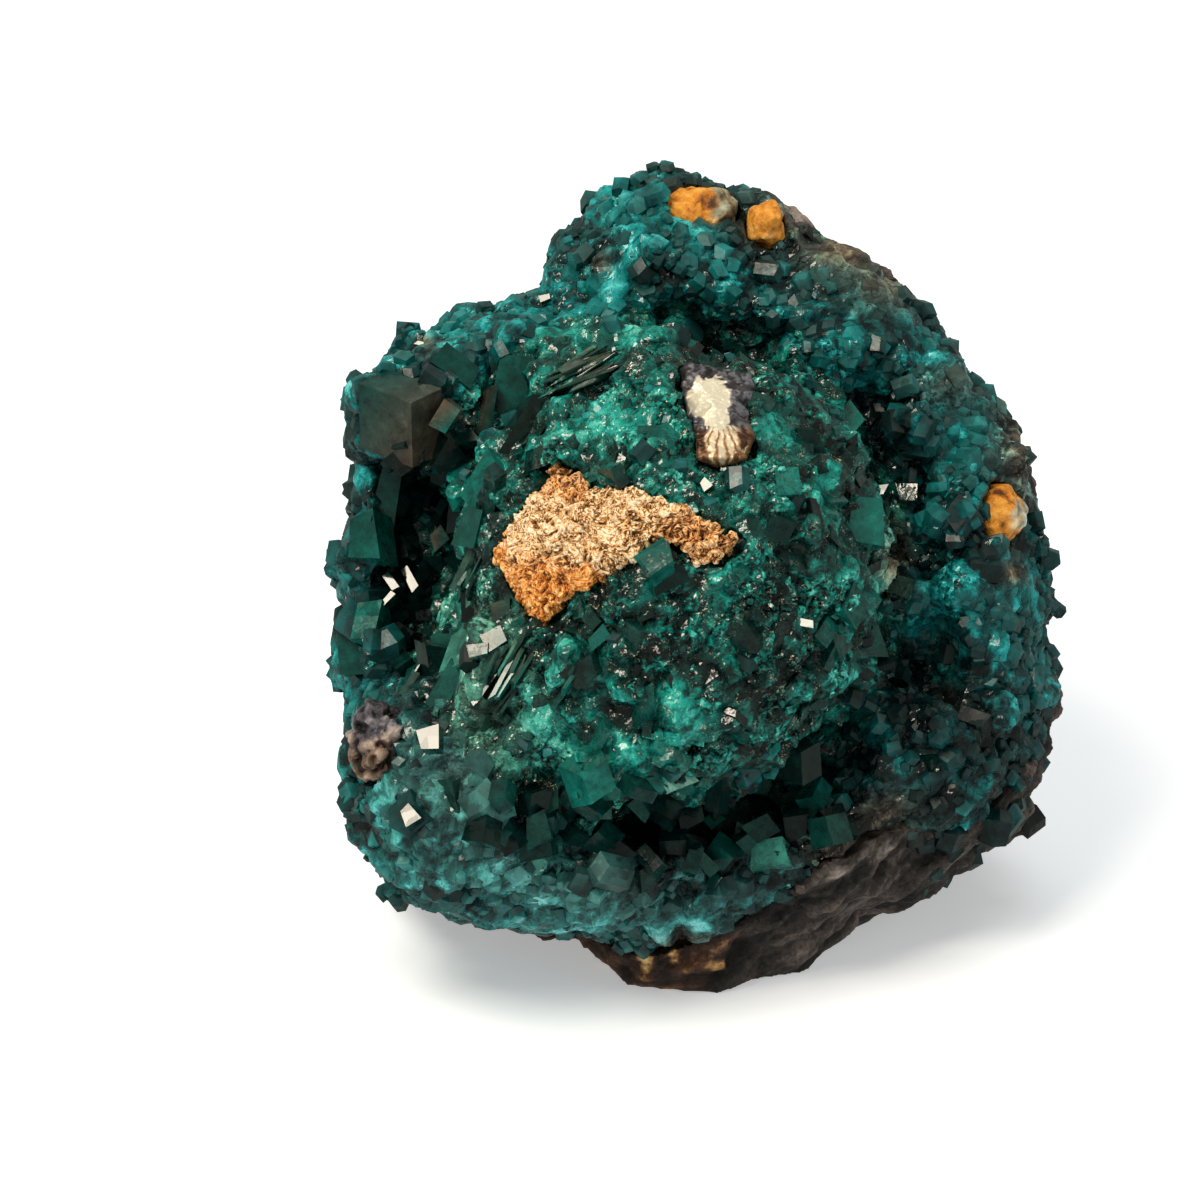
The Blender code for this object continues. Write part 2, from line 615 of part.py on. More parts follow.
def add_material(thing, colour, roughness, metallic=0.0):
    material = bpy.data.materials.new(thing.name)
    material.use_nodes = True
    shader = material.node_tree.nodes["Principled BSDF"]
    shader.inputs["Base Color"].default_value = (*colour, 1.0)
    shader.inputs["Roughness"].default_value = roughness
    shader.inputs["Metallic"].default_value = metallic
    thing.data.materials.clear()
    thing.data.materials.append(material)


def copy_of(thing, name):
    made = thing.copy()
    made.data = thing.data.copy()
    made.name = name
    bpy.context.scene.collection.objects.link(made)
    return made


def resized(thing, name, offset):
    """A copy whose surface is moved outward, in millimetres."""
    made = copy_of(thing, name)
    move = made.modifiers.new("Offset", "DISPLACE")
    move.mid_level = 0.0
    move.strength = offset * MM
    settle(made)
    return made


def grown_druse(bare, block):
    """The druse: the form in front of the seam, with its crystals."""
    points, _ = level_surface(form, LOW_CORNER, HIGH_CORNER, PLACE_STEP)
    crystals = join_crystals([*named_crystals(), *scattered_crystals(points)])
    druse = copy_of(bare, "dioptase_druse")
    boolean(druse, copy_of(block, "druse_cutter"), "DIFFERENCE")
    boolean(crystals, resized(block, "crystal_cutter", GAP), "DIFFERENCE", crossing=True)
    boolean(druse, crystals, "UNION", crossing=True)
    return druse


def ledged_host(bare, block):
    """The host rock: the form behind the seam, with its ledges."""
    ledges = join_crystals([ledge(*measures) for measures in LEDGES])
    host = copy_of(bare, "host_rock")
    boolean(host, resized(block, "host_limit", -GAP), "INTERSECT")
    boolean(ledges, resized(block, "ledge_limit", -2 * GAP), "INTERSECT", crossing=True)
    boolean(host, ledges, "UNION", crossing=True)
    return host


def small_pieces():
    """The pieces that lie in the surface, each with the cutter for its seat."""
    fields = {"ochre_crust": ochre, "cleavage_plate": plate}
    for name, field in fields.items():
        wider = functools.partial(field, grow=GAP)
        seat = shape_of("seat", wider, CRUST_STEP, CRUST_SHARE, CRUST_LOW, CRUST_HIGH, True)
        yield shape_of(name, field, CRUST_STEP, CRUST_SHARE, CRUST_LOW, CRUST_HIGH), seat
    for name, (_, radii) in KNOBS.items():
        centre = knob_centre(name)
        reach = np.array(radii) + KNOB_CLEARANCE
        low, high = np.array(centre) - reach, np.array(centre) + reach
        tight = functools.partial(knob, centre=centre, radii=radii)
        wider = functools.partial(knob, centre=centre, radii=radii, grow=GAP)
        seat = shape_of("seat", wider, KNOB_STEP, KNOB_SHARE, low, high, True)
        yield shape_of(name, tight, KNOB_STEP, KNOB_SHARE, low, high), seat


def main():
    for old in list(bpy.data.objects):
        bpy.data.objects.remove(old)
    bare = shape_of("bare_form", form, BODY_STEP, BODY_SHARE)
    boolean(bare, ground(), "DIFFERENCE")
    block = shape_of("host_block", host_block, SEAM_STEP, SEAM_SHARE, hidden=True)
    druse = grown_druse(bare, block)
    host = ledged_host(bare, block)
    for helper in (bare, block):
        bpy.data.objects.remove(helper)
    pieces = [druse, host]
    for piece, seat in small_pieces():
        boolean(druse, copy_of(seat, "seat_copy"), "DIFFERENCE")
        boolean(host, seat, "DIFFERENCE")
        pieces.append(piece)
    keep_largest(druse)
    keep_largest(host)
    for piece in pieces:
        add_material(piece, *LOOKS[piece.name])


main()
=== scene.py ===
"""Looks of a dioptase specimen: crystals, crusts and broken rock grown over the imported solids.

Metres, +Z up. Places as seen are in pixels of the 1200 x 1200 picture that the camera takes, and
sizes are in millimetres in the tables and in millimetres times MM in the code.
"""

import itertools
import math

import bpy
import numpy as np
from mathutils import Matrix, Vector
from mathutils.bvhtree import BVHTree
from mathutils.kdtree import KDTree


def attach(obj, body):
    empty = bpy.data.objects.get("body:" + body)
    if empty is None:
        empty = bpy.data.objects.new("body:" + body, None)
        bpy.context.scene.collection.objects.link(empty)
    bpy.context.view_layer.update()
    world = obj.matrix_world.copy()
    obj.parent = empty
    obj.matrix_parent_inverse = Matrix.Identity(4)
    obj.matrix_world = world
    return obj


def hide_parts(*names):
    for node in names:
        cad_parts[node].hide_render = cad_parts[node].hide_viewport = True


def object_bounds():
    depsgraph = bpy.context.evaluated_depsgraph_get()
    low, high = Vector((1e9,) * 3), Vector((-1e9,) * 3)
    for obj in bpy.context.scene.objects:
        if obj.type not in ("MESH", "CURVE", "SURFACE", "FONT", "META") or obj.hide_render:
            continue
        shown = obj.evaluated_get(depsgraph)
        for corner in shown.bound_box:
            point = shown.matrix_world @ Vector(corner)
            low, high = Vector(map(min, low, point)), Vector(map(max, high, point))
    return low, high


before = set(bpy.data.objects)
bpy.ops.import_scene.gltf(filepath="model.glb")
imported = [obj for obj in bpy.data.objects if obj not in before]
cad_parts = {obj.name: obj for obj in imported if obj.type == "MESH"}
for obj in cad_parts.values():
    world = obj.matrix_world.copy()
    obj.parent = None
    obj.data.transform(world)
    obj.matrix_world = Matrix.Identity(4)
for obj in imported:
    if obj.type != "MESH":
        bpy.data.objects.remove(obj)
CAD_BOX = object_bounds()

MM = 0.001

# Camera, as it stands before the specimen
PICTURE_WIDTH = 1200
PIXEL = 0.07 * MM
VIEW_DISTANCE = 260 * MM
VIEW_TILT = math.radians(20)
AIM = np.array((-7.425, -14.07, 29.2)) * MM
TO_CAMERA = np.array((0, -math.cos(VIEW_TILT), math.sin(VIEW_TILT)))
SCREEN_UP = np.array((0, math.sin(VIEW_TILT), math.cos(VIEW_TILT)))
SCREEN_RIGHT = np.array((1.0, 0, 0))
CAMERA_PLACE = AIM + VIEW_DISTANCE * TO_CAMERA
SENSOR = 36.0

# Lights: degrees round from the camera and up, distance and size in millimetres, radiance, colour,
# and whether the crystals mirror it
LIGHTS = {
    "key": (-38, 52, 450, 170, 19, (1.0, 0.885, 0.73), True),
    "fill_right": (70, 25, 600, 400, 1.0, (1.0, 0.99, 0.97), False),
    "top": (120, 74, 500, 260, 2.4, (1.0, 0.98, 0.95), False),
    "back": (190, 35, 600, 300, 2.5, (1.0, 0.97, 0.94), False),
}
LIGHTS_AIM = Vector((0, 0, 27 * MM))
ROOM_LIGHT = (0.27, 0.27, 0.235, 1)
FLOOR_SIZE = 3.0
PAPER = {
    "Base Color": (0.84, 0.9, 0.98, 1),
    "Roughness": 0.9,
    "Emission Color": (1, 1, 1, 1),
    "Emission Strength": 0.36,
}


def toward(round_angle, up_angle):
    """Unit vector from the specimen: round from the camera's side (left is minus) and up."""
    turn, up = np.radians((round_angle, up_angle))
    return np.array((math.sin(turn) * math.cos(up), -math.cos(turn) * math.cos(up), math.sin(up)))


def unit(vectors):
    return vectors / np.maximum(np.linalg.norm(vectors, axis=-1, keepdims=True), 1e-12)


# A face that looks this way mirrors the key light
GLINT_WAY = unit(toward(*LIGHTS["key"][:2]) + TO_CAMERA)


def scrambled(cells, seed):
    """Repeatable numbers from 0 to 1, one for each row of three whole numbers."""
    mixed = cells[..., 0] * 73856093 ^ cells[..., 1] * 19349663 ^ cells[..., 2] * 83492791
    mixed = (mixed ^ seed * 40503) * 1274126177
    mixed = (mixed ^ mixed >> 15) * 668265263
    mixed = mixed ^ mixed >> 17
    return (mixed & 0xFFFFFF) / 0x1000000


def scrambled_rows(cells, seed, count):
    """That many repeatable numbers for each row."""
    return np.stack([scrambled(cells, seed + step) for step in range(count)], axis=1)


def noise(points, size, seed):
    """Smooth noise from 0 to 1 with lumps of about that size."""
    places = points / size
    corner = np.floor(places).astype(np.int64)
    part = places - corner
    part = part * part * (3 - 2 * part)
    total = np.zeros(len(points))
    for step in itertools.product((0, 1), repeat=3):
        share = np.prod(np.where(np.array(step), part, 1 - part), axis=1)
        total += share * scrambled(corner + np.array(step), seed)
    return total


def layered(points, size, seed, layers=3):
    """Noise of several sizes, each half the one before, from 0 to 1."""
    shares = 0.5 ** np.arange(layers)
    parts = [share * noise(points, size * share, seed + layer) for layer, share in enumerate(shares)]
    return sum(parts) / shares.sum()


def stretch(values, low, high):
    return np.clip((values - low) / (high - low), 0, 1)


def as_seen(points):
    """Where the camera sees points, in pixels across and down."""
    away = points - CAMERA_PLACE
    scale = VIEW_DISTANCE / (-away @ TO_CAMERA) / PIXEL
    middle = PICTURE_WIDTH / 2
    return np.stack((middle + away @ SCREEN_RIGHT * scale, middle - away @ SCREEN_UP * scale), axis=1)


def sight_line(pixel):
    """Direction in which the camera sees a pixel."""
    across, down = (np.array(pixel) - PICTURE_WIDTH / 2) * PIXEL
    return unit(AIM + across * SCREEN_RIGHT - down * SCREEN_UP - CAMERA_PLACE)


# Areas as seen: middle, and half width and height
BOULDER = ((655, 575), (250, 262))
VUG = ((425, 560), (48, 125))
LEFT_RIM = ((366, 570), (36, 150))
CLEFT = ((660, 822), (190, 42))

# Areas where the dioptase is darker or brighter than elsewhere, and by how much of its tone: 0 is
# nearly black, 0.5 deep green, 0.75 teal, 1 pale turquoise
MIDDLE_TONE = 0.45
# The dark patches in the hollows (left_vug, top_valley, right_valley, right_pit, low_cleft, cleft_right,
# right_foot, beyond_ridge) are painted shade, and lobe_edge is painted light on the left flank
TONE_LIGHT_AND_SHADE_PLACES = {
    "left_vug": ((410, 545), (50, 115), -0.2),
    "corner": ((400, 420), (60, 50), -0.12),
    "top_valley": ((735, 340), (55, 26), -0.25),
    "right_valley": ((885, 440), (34, 90), -0.2),
    "right_pit": ((935, 640), (45, 60), -0.25),
    "right_foot": ((960, 770), (90, 70), -0.2),
    "beyond_ridge": ((965, 845), (75, 45), -0.3),
    "low_cleft": ((660, 815), (180, 40), -0.14),
    "cleft_right": ((800, 760), (70, 40), -0.25),
    "lobe_middle": ((660, 640), (100, 45), -0.1),
    "under_plate_right": ((820, 500), (50, 80), -0.12),
    "left_of_crust": ((535, 440), (25, 60), -0.15),
    "lobe_left": ((605, 415), (60, 40), 0.26),
    "top": ((650, 260), (60, 50), 0.04),
    "top_middle": ((640, 305), (90, 24), 0.06),
    "rim": ((835, 245), (75, 40), 0.16),
    "lobe_edge": ((475, 640), (45, 80), 0.28),
    "beside_plate": ((775, 430), (30, 30), 0.15),
    "under_plate": ((735, 500), (45, 25), 0.15),
    "lobe_foot": ((650, 740), (120, 50), 0.34),
    "low_left": ((430, 770), (60, 60), 0.14),
    "lobe_right_side": ((850, 560), (40, 90), 0.1),
    "upper_left": ((470, 325), (70, 28), 0.2),
    "upper_ridge": ((590, 290), (60, 20), 0.12),
    "top_left": ((620, 195), (30, 25), 0.2),
    "right_wall": ((960, 480), (30, 120), 0.1),
    "low_band": ((560, 895), (140, 50), 0.2),
}
RUST_AND_SHEEN_PLACES = {
    "valley_stain": ((893, 560), (16, 32), 0.9),
    "right_dot": ((1010, 573), (10, 10), 1.0),
    "top_dot": ((597, 262), (12, 10), 0.7),
    "rim_top": ((790, 215), (45, 20), 0.9),
    "rim_middle": ((840, 252), (45, 20), 0.9),
    "rim_low": ((888, 285), (40, 26), 0.7),
    "right_seam": ((950, 385), (30, 16), 0.4),
    "right_strip": ((1020, 440), (22, 70), 0.8),
    "upper_left_stain": ((425, 345), (10, 6), 0.8),
    "ridge_top": ((885, 815), (32, 22), 0.9),
    "ridge_side": ((840, 850), (40, 20), 0.9),
    "foot_edge": ((705, 945), (50, 14), 0.7),
    "wall_brick": ((950, 700), (14, 12), 0.7),
    # The three *_warm places are painted warm sheen that stands in for warm reflections; the rest are rust
    # stains
    "low_left_warm": ((445, 775), (75, 70), 0.22),
    "low_band_warm": ((600, 880), (170, 55), 0.2),
    "lobe_left_warm": ((485, 655), (50, 90), 0.2),
}


class Places:
    """Points of a surface with their outward normals, and where the camera sees them."""

    def __init__(self, points, normals):
        self.points = points
        self.normals = normals
        self.pixels = as_seen(points)

    def only(self, chosen):
        return Places(self.points[chosen], self.normals[chosen])

    def front(self, low, high):
        """1 on the side that faces the camera, falling to 0 on the side turned away."""
        return stretch(self.normals @ TO_CAMERA, low, high)

    def patches(self, table):
        """Sum of soft-edged patches, each with its own change."""
        total = np.zeros(len(self.points))
        for middle, size, change in table.values():
            away = (self.pixels - np.array(middle)) / np.array(size)
            total += change * self.front(-0.2, 0.2) * np.exp(-(away ** 2).sum(axis=1))
        return total

    def tone(self):
        wide = layered(self.points, 5 * MM, 3) - 0.5
        fine = layered(self.points, 1.6 * MM, 10) - 0.5
        # The patches add painted shade in the hollows and painted light on the left flank to the own tone
        return MIDDLE_TONE + 0.6 * wide + 0.5 * fine + self.patches(TONE_LIGHT_AND_SHADE_PLACES)

    def rust(self):
        # Rust stains, with the painted warm sheen of the *_warm places
        return np.clip(self.patches(RUST_AND_SHEEN_PLACES), 0, 1)

    def within(self, area):
        """1 inside an area, 0 outside it and on the side turned away."""
        away = (self.pixels - np.array(area[0])) / np.array(area[1])
        return (1 - stretch(np.linalg.norm(away, axis=1), 0.92, 1.08)) * self.front(-0.25, 0.1)

    def brokenness(self):
        """How crushed the crystal is: 1 on the boulder, in patches elsewhere."""
        patchy = stretch(layered(self.points, 9 * MM, 91), 0.5, 0.6)
        return np.maximum(self.within(BOULDER), 0.8 * patchy)

    def crumbled(self, low):
        """Patches of about 2 mm where the crystal falls apart into grains: 1 in them and 0 between."""
        return stretch(layered(self.points, 2.2 * MM, 71), low, 0.6)


def mesh_numbers(items, name, width, kind=float):
    """A value stored for each item of a mesh, in rows of a width."""
    numbers = np.zeros(len(items) * width, kind)
    items.foreach_get(name, numbers)
    return numbers.reshape(-1, width)


# How far out of the surface a line starts, so that it does not meet its own face
RAY_START = 0.02 * MM


class Skin:
    """The triangles of one mesh, for finding places on it."""

    def __init__(self, mesh):
        mesh.calc_loop_triangles()
        points = mesh_numbers(mesh.vertices, "co", 3)
        triangles = mesh_numbers(mesh.loop_triangles, "vertices", 3, int)
        self.corners = points[triangles]
        first, second, third = self.corners.transpose(1, 0, 2)
        across = np.cross(second - first, third - first)
        self.areas = np.linalg.norm(across, axis=1) / 2
        self.normals = unit(across)
        self.tree = BVHTree.FromPolygons(points.tolist(), triangles.tolist())

    def hit(self, pixel):
        """Where a sight line meets the mesh."""
        return np.array(self.tree.ray_cast(Vector(CAMERA_PLACE), Vector(sight_line(pixel)))[0])

    def distance(self, points, reach):
        """How far each point is from the mesh, at most reach."""
        found = [self.tree.find_nearest(point, reach)[3] for point in points.tolist()]
        return np.array([reach if distance is None else distance for distance in found])

    def room(self, points, normals, reach):
        """How far each outward line runs before it meets the mesh, at most reach."""
        lines = zip((points + normals * RAY_START).tolist(), normals.tolist())
        found = [self.tree.ray_cast(point, way, reach)[3] for point, way in lines]
        return np.array([reach if distance is None else distance for distance in found])


def node_skin(name):
    return Skin(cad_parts[name].data)


LIMONITE_NODES = ("limonite_crest", "limonite_knob", "limonite_spot")
DRUSE = node_skin("dioptase_druse")
HOST = node_skin("host_rock")
SET_IN = [node_skin(name) for name in ("ochre_crust", "cleavage_plate", *LIMONITE_NODES, "rock_patch")]


# Points tried for each that is kept, about
CROWD = 4


def spread(skin, spacing, seed):
    """Places over a node, about evenly spaced."""
    chance = np.random.default_rng(seed)
    areas = skin.areas
    count = int(CROWD * areas.sum() / spacing ** 2)
    chosen = chance.choice(len(areas), count, p=areas / areas.sum())
    a, b = chance.random((2, count, 1))
    flip = a + b > 1
    a = np.where(flip, 1 - a, a)
    b = np.where(flip, 1 - b, b)
    corners = skin.corners[chosen]
    points = corners[:, 0] * (1 - a - b) + corners[:, 1] * a + corners[:, 2] * b
    finder = KDTree(count)
    for number, point in enumerate(points.tolist()):
        finder.insert(point, number)
    finder.balance()
    free = np.ones(count, bool)
    kept = []
    for number, point in enumerate(points.tolist()):
        if free[number]:
            kept.append(number)
            for _, other, _ in finder.find_range(point, spacing):
                free[other] = False
    return Places(points[kept], skin.normals[chosen[kept]])


# How much room a small crystal needs before it, and how far it stays from other pieces
CLEARANCE = 1.2 * MM
BESIDE_LARGE = 0.45 * MM
BESIDE_SET_IN = 0.25 * MM


def open_places(places):
    """True where no rock, large crystal or piece set into the druse lies over the place or beside it."""
    free = np.ones(len(places.points), bool)
    others = [(HOST, 1, 0), (LARGE, 2, BESIDE_LARGE), *((skin, 1.6, BESIDE_SET_IN) for skin in SET_IN)]
    for skin, share, beside in others:
        free &= skin.room(places.points, places.normals, CLEARANCE * share) >= CLEARANCE * share
        free &= skin.distance(places.points, beside) >= beside
    return free


def turned(axes, turns):
    """Rotation matrices whose last column is each axis, turned round it."""
    helper = np.where(np.abs(axes[:, 2:3]) < 0.9, (0.0, 0, 1), (1.0, 0, 0))
    first = unit(np.cross(helper, axes))
    second = np.cross(axes, first)
    cosine = np.cos(turns)[:, None]
    sine = np.sin(turns)[:, None]
    return np.stack((first * cosine + second * sine, second * cosine - first * sine, axes), axis=2)


PRISM_SIDES = 6
TIP_DROP = 0.62
PRISM_FACES = (
    [(0, 5, 4, 3, 2, 1)]
    + [(side, (side + 1) % 6, 6 + (side + 1) % 6, 6 + side) for side in range(6)]
    + [(12, 6 + (side + 5) % 6, 6 + side, 6 + (side + 1) % 6) for side in (0, 2, 4)]
)
BLOCK_FACES = [(0, 3, 2, 1), (4, 5, 6, 7), (0, 1, 5, 4), (1, 2, 6, 5), (2, 3, 7, 6), (3, 0, 4, 7)]
BLOCK_CORNERS = np.array(
    [(-1, -1, -1), (1, -1, -1), (1, 1, -1), (-1, 1, -1), (-1, -1, 1), (1, -1, 1), (1, 1, 1), (-1, 1, 1)]
)


def prisms(axes, radii, lengths, turns):
    """Six-sided crystals with their tips at zero, each ended by three sloping faces."""
    angles = np.arange(PRISM_SIDES) * math.tau / PRISM_SIDES
    ring = np.stack((np.cos(angles), np.sin(angles)), axis=1)
    drops = np.where(np.arange(PRISM_SIDES) % 2 == 0, TIP_DROP, TIP_DROP / 2)
    local = np.zeros((len(axes), 2 * PRISM_SIDES + 1, 3))
    local[:, :-1, :2] = np.tile(radii[:, None, None] * ring[None], (1, 2, 1))
    local[:, :PRISM_SIDES, 2] = -lengths[:, None]
    local[:, PRISM_SIDES:-1, 2] = -radii[:, None] * drops[None]
    return np.einsum("nij,nkj->nki", turned(axes, turns), local)


def blocks(axes, sizes, turns, slant, taper):
    """Six-faced slanted blocks of given width, length and height, with their middles at zero."""
    local = BLOCK_CORNERS[None] * sizes[:, None] / 2
    narrowing = np.where(BLOCK_CORNERS[None, :, 2] > 0, taper[:, None], 1.0)
    local[..., :2] *= narrowing[..., None]
    local[..., 0] += slant[:, None] * local[..., 2]
    local[..., 1] += slant[:, None] * local[..., 0]
    return np.einsum("nij,nkj->nki", turned(axes, turns), local)


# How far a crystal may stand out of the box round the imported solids
BOX_MARGIN = 0.7 * MM


def planted(bodies, places, rises):
    """Bodies moved to their places, so that each stands as far out of the surface as asked.

    Also how high each corner stands, and which bodies stay inside the box.
    """
    reach = np.einsum("nkj,nj->nk", bodies, places.normals)
    shift = places.points + places.normals * (rises - reach.max(axis=1))[:, None]
    heights = (reach - reach.max(axis=1, keepdims=True)) + rises[:, None]
    bodies = bodies + shift[:, None]
    low = bodies.min(axis=1) > np.array(CAD_BOX[0]) - np.array((BOX_MARGIN, BOX_MARGIN, 0))
    high = bodies.max(axis=1) < np.array(CAD_BOX[1]) + BOX_MARGIN
    return bodies, heights, low.all(axis=1) & high.all(axis=1)


def placed(name, data):
    made = bpy.data.objects.new(name, data)
    bpy.context.scene.collection.objects.link(made)
    return made


def mesh_piece(name, points, corners, starts, looks, smooth=False):
    """A mesh with tone, crumble and rust at its points, from its corners and where each face starts."""
    mesh = bpy.data.meshes.new(name)
    mesh.vertices.add(len(points))
    mesh.vertices.foreach_set("co", points.astype(np.float32).reshape(-1))
    mesh.loops.add(len(corners))
    mesh.loops.foreach_set("vertex_index", corners.astype(np.int32))
    mesh.polygons.add(len(starts))
    mesh.polygons.foreach_set("loop_start", starts.astype(np.int32))
    mesh.update(calc_edges=True)
    if not smooth:
        mesh.shade_flat()
    full = np.ones((len(points), 4), np.float32)
    full[:, :3] = looks
    mesh.attributes.new("look", "FLOAT_COLOR", "POINT").data.foreach_set("color", full.reshape(-1))
    return placed(name, mesh)


def joined(name, bodies, faces, looks):
    """One mesh of many small closed bodies, with the looks of every corner."""
    count, corners = bodies.shape[:2]
    firsts = np.arange(count)[:, None] * corners
    numbers = np.concatenate([(firsts + np.array(face)[None]).reshape(-1) for face in faces])
    sizes = np.concatenate([np.full(count, len(face)) for face in faces])
    return mesh_piece(name, bodies.reshape(-1, 3), numbers, np.cumsum(sizes) - sizes, looks.reshape(-1, 3))


# Square crystals: nearest corner, its three edges in pixels, how far out, tone and brownness
# Brownness, here and in the tables below, is a painted brown-grey reflection on the crystal faces
SQUARE_CRYSTALS = {
    "corner_cube": ((412, 404), (-55, -22), (0, 63), (29, -16), 1.3, 0.34, 1.0),
    "cleft_cube": ((535, 812), (-16, -14), (-2, 34), (22, -12), 0.6, 0.15, 0.0),
    "cleft_cube_small": ((566, 800), (-14, -10), (3, 24), (14, -9), 0.6, 0.18, 0.0),
    "cleft_wedge": ((712, 812), (-34, -10), (4, 22), (36, -14), 1.6, 0.16, 0.3),
    "low_left_cube": ((452, 782), (-36, -4), (6, 30), (30, -16), 0.5, 0.32, 0.2),
    "lower_cube": ((640, 870), (-18, -10), (2, 24), (20, -12), 0.5, 0.2, 0.0),
    "wall_cube": ((930, 760), (-30, -14), (2, 32), (30, -14), 0.5, 0.2, 0.0),
    "cleft_right_cube": ((800, 752), (-26, -8), (3, 34), (20, -10), 0.9, 0.16, 0.2),
}
# Crystals with one face towards the viewer: middle, width, length, turn, the degrees that the face
# leans right and up, how far out, tone and brownness. A glint mirrors the key light
FACING_CRYSTALS = {
    "diamond_face": ((443, 417), 1.6, 2.0, -30, (-6, -4), 2.2, 0.47, 1.0),
    "diamond_glint": ((463, 437), 1.9, 0.8, 14, "glint", 1.8, 0.2, 0.0),
    "dark_lobe_face": ((580, 672), 2.2, 1.8, 35, (-16, -14), 0.4, 0.2, 0.4),
    "dark_crust_face": ((672, 577), 2.6, 2.1, 18, (6, -18), 0.35, 0.2, 0.0),
    "dark_right_face": ((810, 446), 1.8, 2.8, 14, (8, -10), 0.3, 0.2, 0.0),
    "dark_middle_face": ((780, 528), 1.8, 2.0, -12, (8, -20), 0.3, 0.22, 0.0),
    "pale_block": ((753, 788), 2.2, 0.8, 4, (-6, 10), 1.7, 0.45, 1.0),
    "left_glint": ((428, 738), 1.4, 1.6, 12, "glint", 0.9, 0.2, 0.0),
    "cream_face": ((492, 638), 1.8, 1.2, 35, (-9, 15), 0.6, 0.5, 0.6),
    "cream_foot": ((478, 650), 1.3, 0.9, 10, (-10, 14), 0.6, 0.5, 0.6),
    "olive_face": ((500, 610), 1.5, 1.8, 20, (-4, 10), 0.5, 0.4, 0.7),
    "teal_tongue": ((655, 556), 2.4, 1.7, 30, (2, 0), 0.8, 0.5, 0.0),
    "lower_glint": ((409, 815), 1.1, 1.3, 40, "glint", 0.7, 0.2, 0.0),
    "vug_glint": ((441, 507), 0.7, 1.1, -25, "glint", 2.2, 0.2, 0.0),
    "vug_bar": ((409, 578), 0.6, 2.1, 32, "glint", 2.6, 0.3, 0.0),
    "vug_hook": ((390, 580), 0.55, 1.4, 40, "glint", 2.6, 0.3, 0.0),
    "vug_hook_foot": ((389, 596), 0.5, 1.3, -38, "glint", 2.6, 0.3, 0.0),
    "vug_dim_face": ((439, 537), 1.5, 1.5, 30, (-6, 0), 2.4, 0.45, 1.0),
    "right_glint": ((876, 490), 1.6, 0.7, 4, "glint", 0.9, 0.5, 0.0),
    "ridge_glint": ((545, 297), 0.8, 0.5, 20, "glint", 0.5, 0.4, 0.0),
    "corner_glint": ((420, 343), 0.8, 0.4, -10, "glint", 0.6, 0.4, 0.0),
    "pyramid_glint": ((705, 485), 0.8, 0.9, 30, "glint", 0.5, 0.4, 0.0),
    "pale_chip": ((807, 623), 1.2, 0.5, -8, "glint", 0.5, 0.4, 0.0),
    "pale_flake": ((715, 880), 1.0, 1.4, -30, "glint", 0.5, 0.3, 0.0),
    "tall_slab": ((508, 398), 2.8, 5.4, -10, (-2, -8), 0.8, 0.42, 0.0),
    "olive_slab": ((487, 415), 0.9, 4.0, -12, (24, 4), 0.7, 0.3, 0.7),
    "edge_slab": ((483, 482), 3.0, 4.4, -36, (-34, -4), 0.8, 0.52, 0.0),
    "dark_slab": ((528, 424), 1.9, 5.0, -28, (16, 4), 0.6, 0.12, 0.3),
    "leaning_slab": ((462, 366), 3.4, 2.4, -40, (14, 24), 0.5, 0.34, 0.0),
    "rim_slab": ((362, 536), 2.4, 4.0, 8, (-26, 14), 1.0, 0.42, 0.0),
    "rim_column": ((384, 497), 2.0, 4.6, -14, (2, -6), 1.2, 0.34, 0.0),
    "rim_foot": ((350, 655), 2.2, 3.0, 16, (-24, 10), 0.9, 0.36, 0.0),
    "rim_green": ((368, 618), 2.0, 3.4, -8, (-20, 20), 0.9, 0.5, 0.0),
}
# Clear crystals, given in the same way
CLEAR_CRYSTALS = {
    "round_clear": ((849, 420), 1.9, 2.1, 35, (10, 24), 1.6, 0.8, 0.0),
    "block_clear": ((866, 520), 2.7, 4.2, -6, (14, 6), 0.9, 0.72, 0.0),
    "ledge_clear": ((658, 556), 2.6, 1.9, 24, (-6, 26), 0.8, 0.66, 0.0),
    "edge_clear": ((468, 530), 1.9, 3.0, -20, (-34, 6), 0.7, 0.6, 0.0),
    "low_clear": ((447, 690), 1.8, 3.4, -30, (-30, 10), 0.7, 0.6, 0.0),
    "foot_clear": ((600, 812), 2.4, 1.4, 8, (4, -24), 0.5, 0.6, 0.0),
    "right_clear": ((870, 640), 2.2, 2.8, 14, (26, -6), 0.6, 0.62, 0.0),
    "teal_sliver": ((598, 638), 0.9, 1.6, -50, (-10, -6), 0.6, 0.72, 0.0),
    "green_spot": ((382, 550), 1.3, 1.0, 20, (-14, 20), 0.6, 0.7, 0.0),
}
# Bundles of thin blades: both ends of the middle, width, count of blades, tone, brownness (painted brown
# reflection)
BLADE_BUNDLES = {
    "upper_ledge": ((538, 393), (628, 350), 28, 16, 0.45, 0.6),
    "left_fan": ((486, 704), (528, 636), 38, 16, 0.5, 0.5),
    "left_edge": ((452, 606), (482, 530), 20, 11, 0.42, 0.3),
    "middle_fan": ((562, 704), (588, 664), 22, 8, 0.4, 0.2),
    "low_left_rim": ((398, 700), (420, 660), 14, 6, 0.5, 0.3),
}
# Dark crystals that crowd in the hollows: area, pixels between them, and from least to most their
# sizes, how far out, and tones
# Their dark tones are partly the crystal's own and partly painted shade of the hollows
LININGS = {
    "vug": (VUG, 30, (1.5, 3.0), (0.2, 0.7), (0.0, 0.2)),
    "cleft": (CLEFT, 25, (1.1, 2.4), (0.7, 2.0), (0.08, 0.38)),
}

# The seeded chance that makes the large crystals a little uneven
UNEVEN = np.random.default_rng(5)
UNEVEN_SIDES = 0.22
LINING_LEAN = 24
BLADE_LEAN = 30
BLADE_GLINTS = 0.2
BLADE_THICKNESS = 0.1
ROOT_DEPTH = 0.5


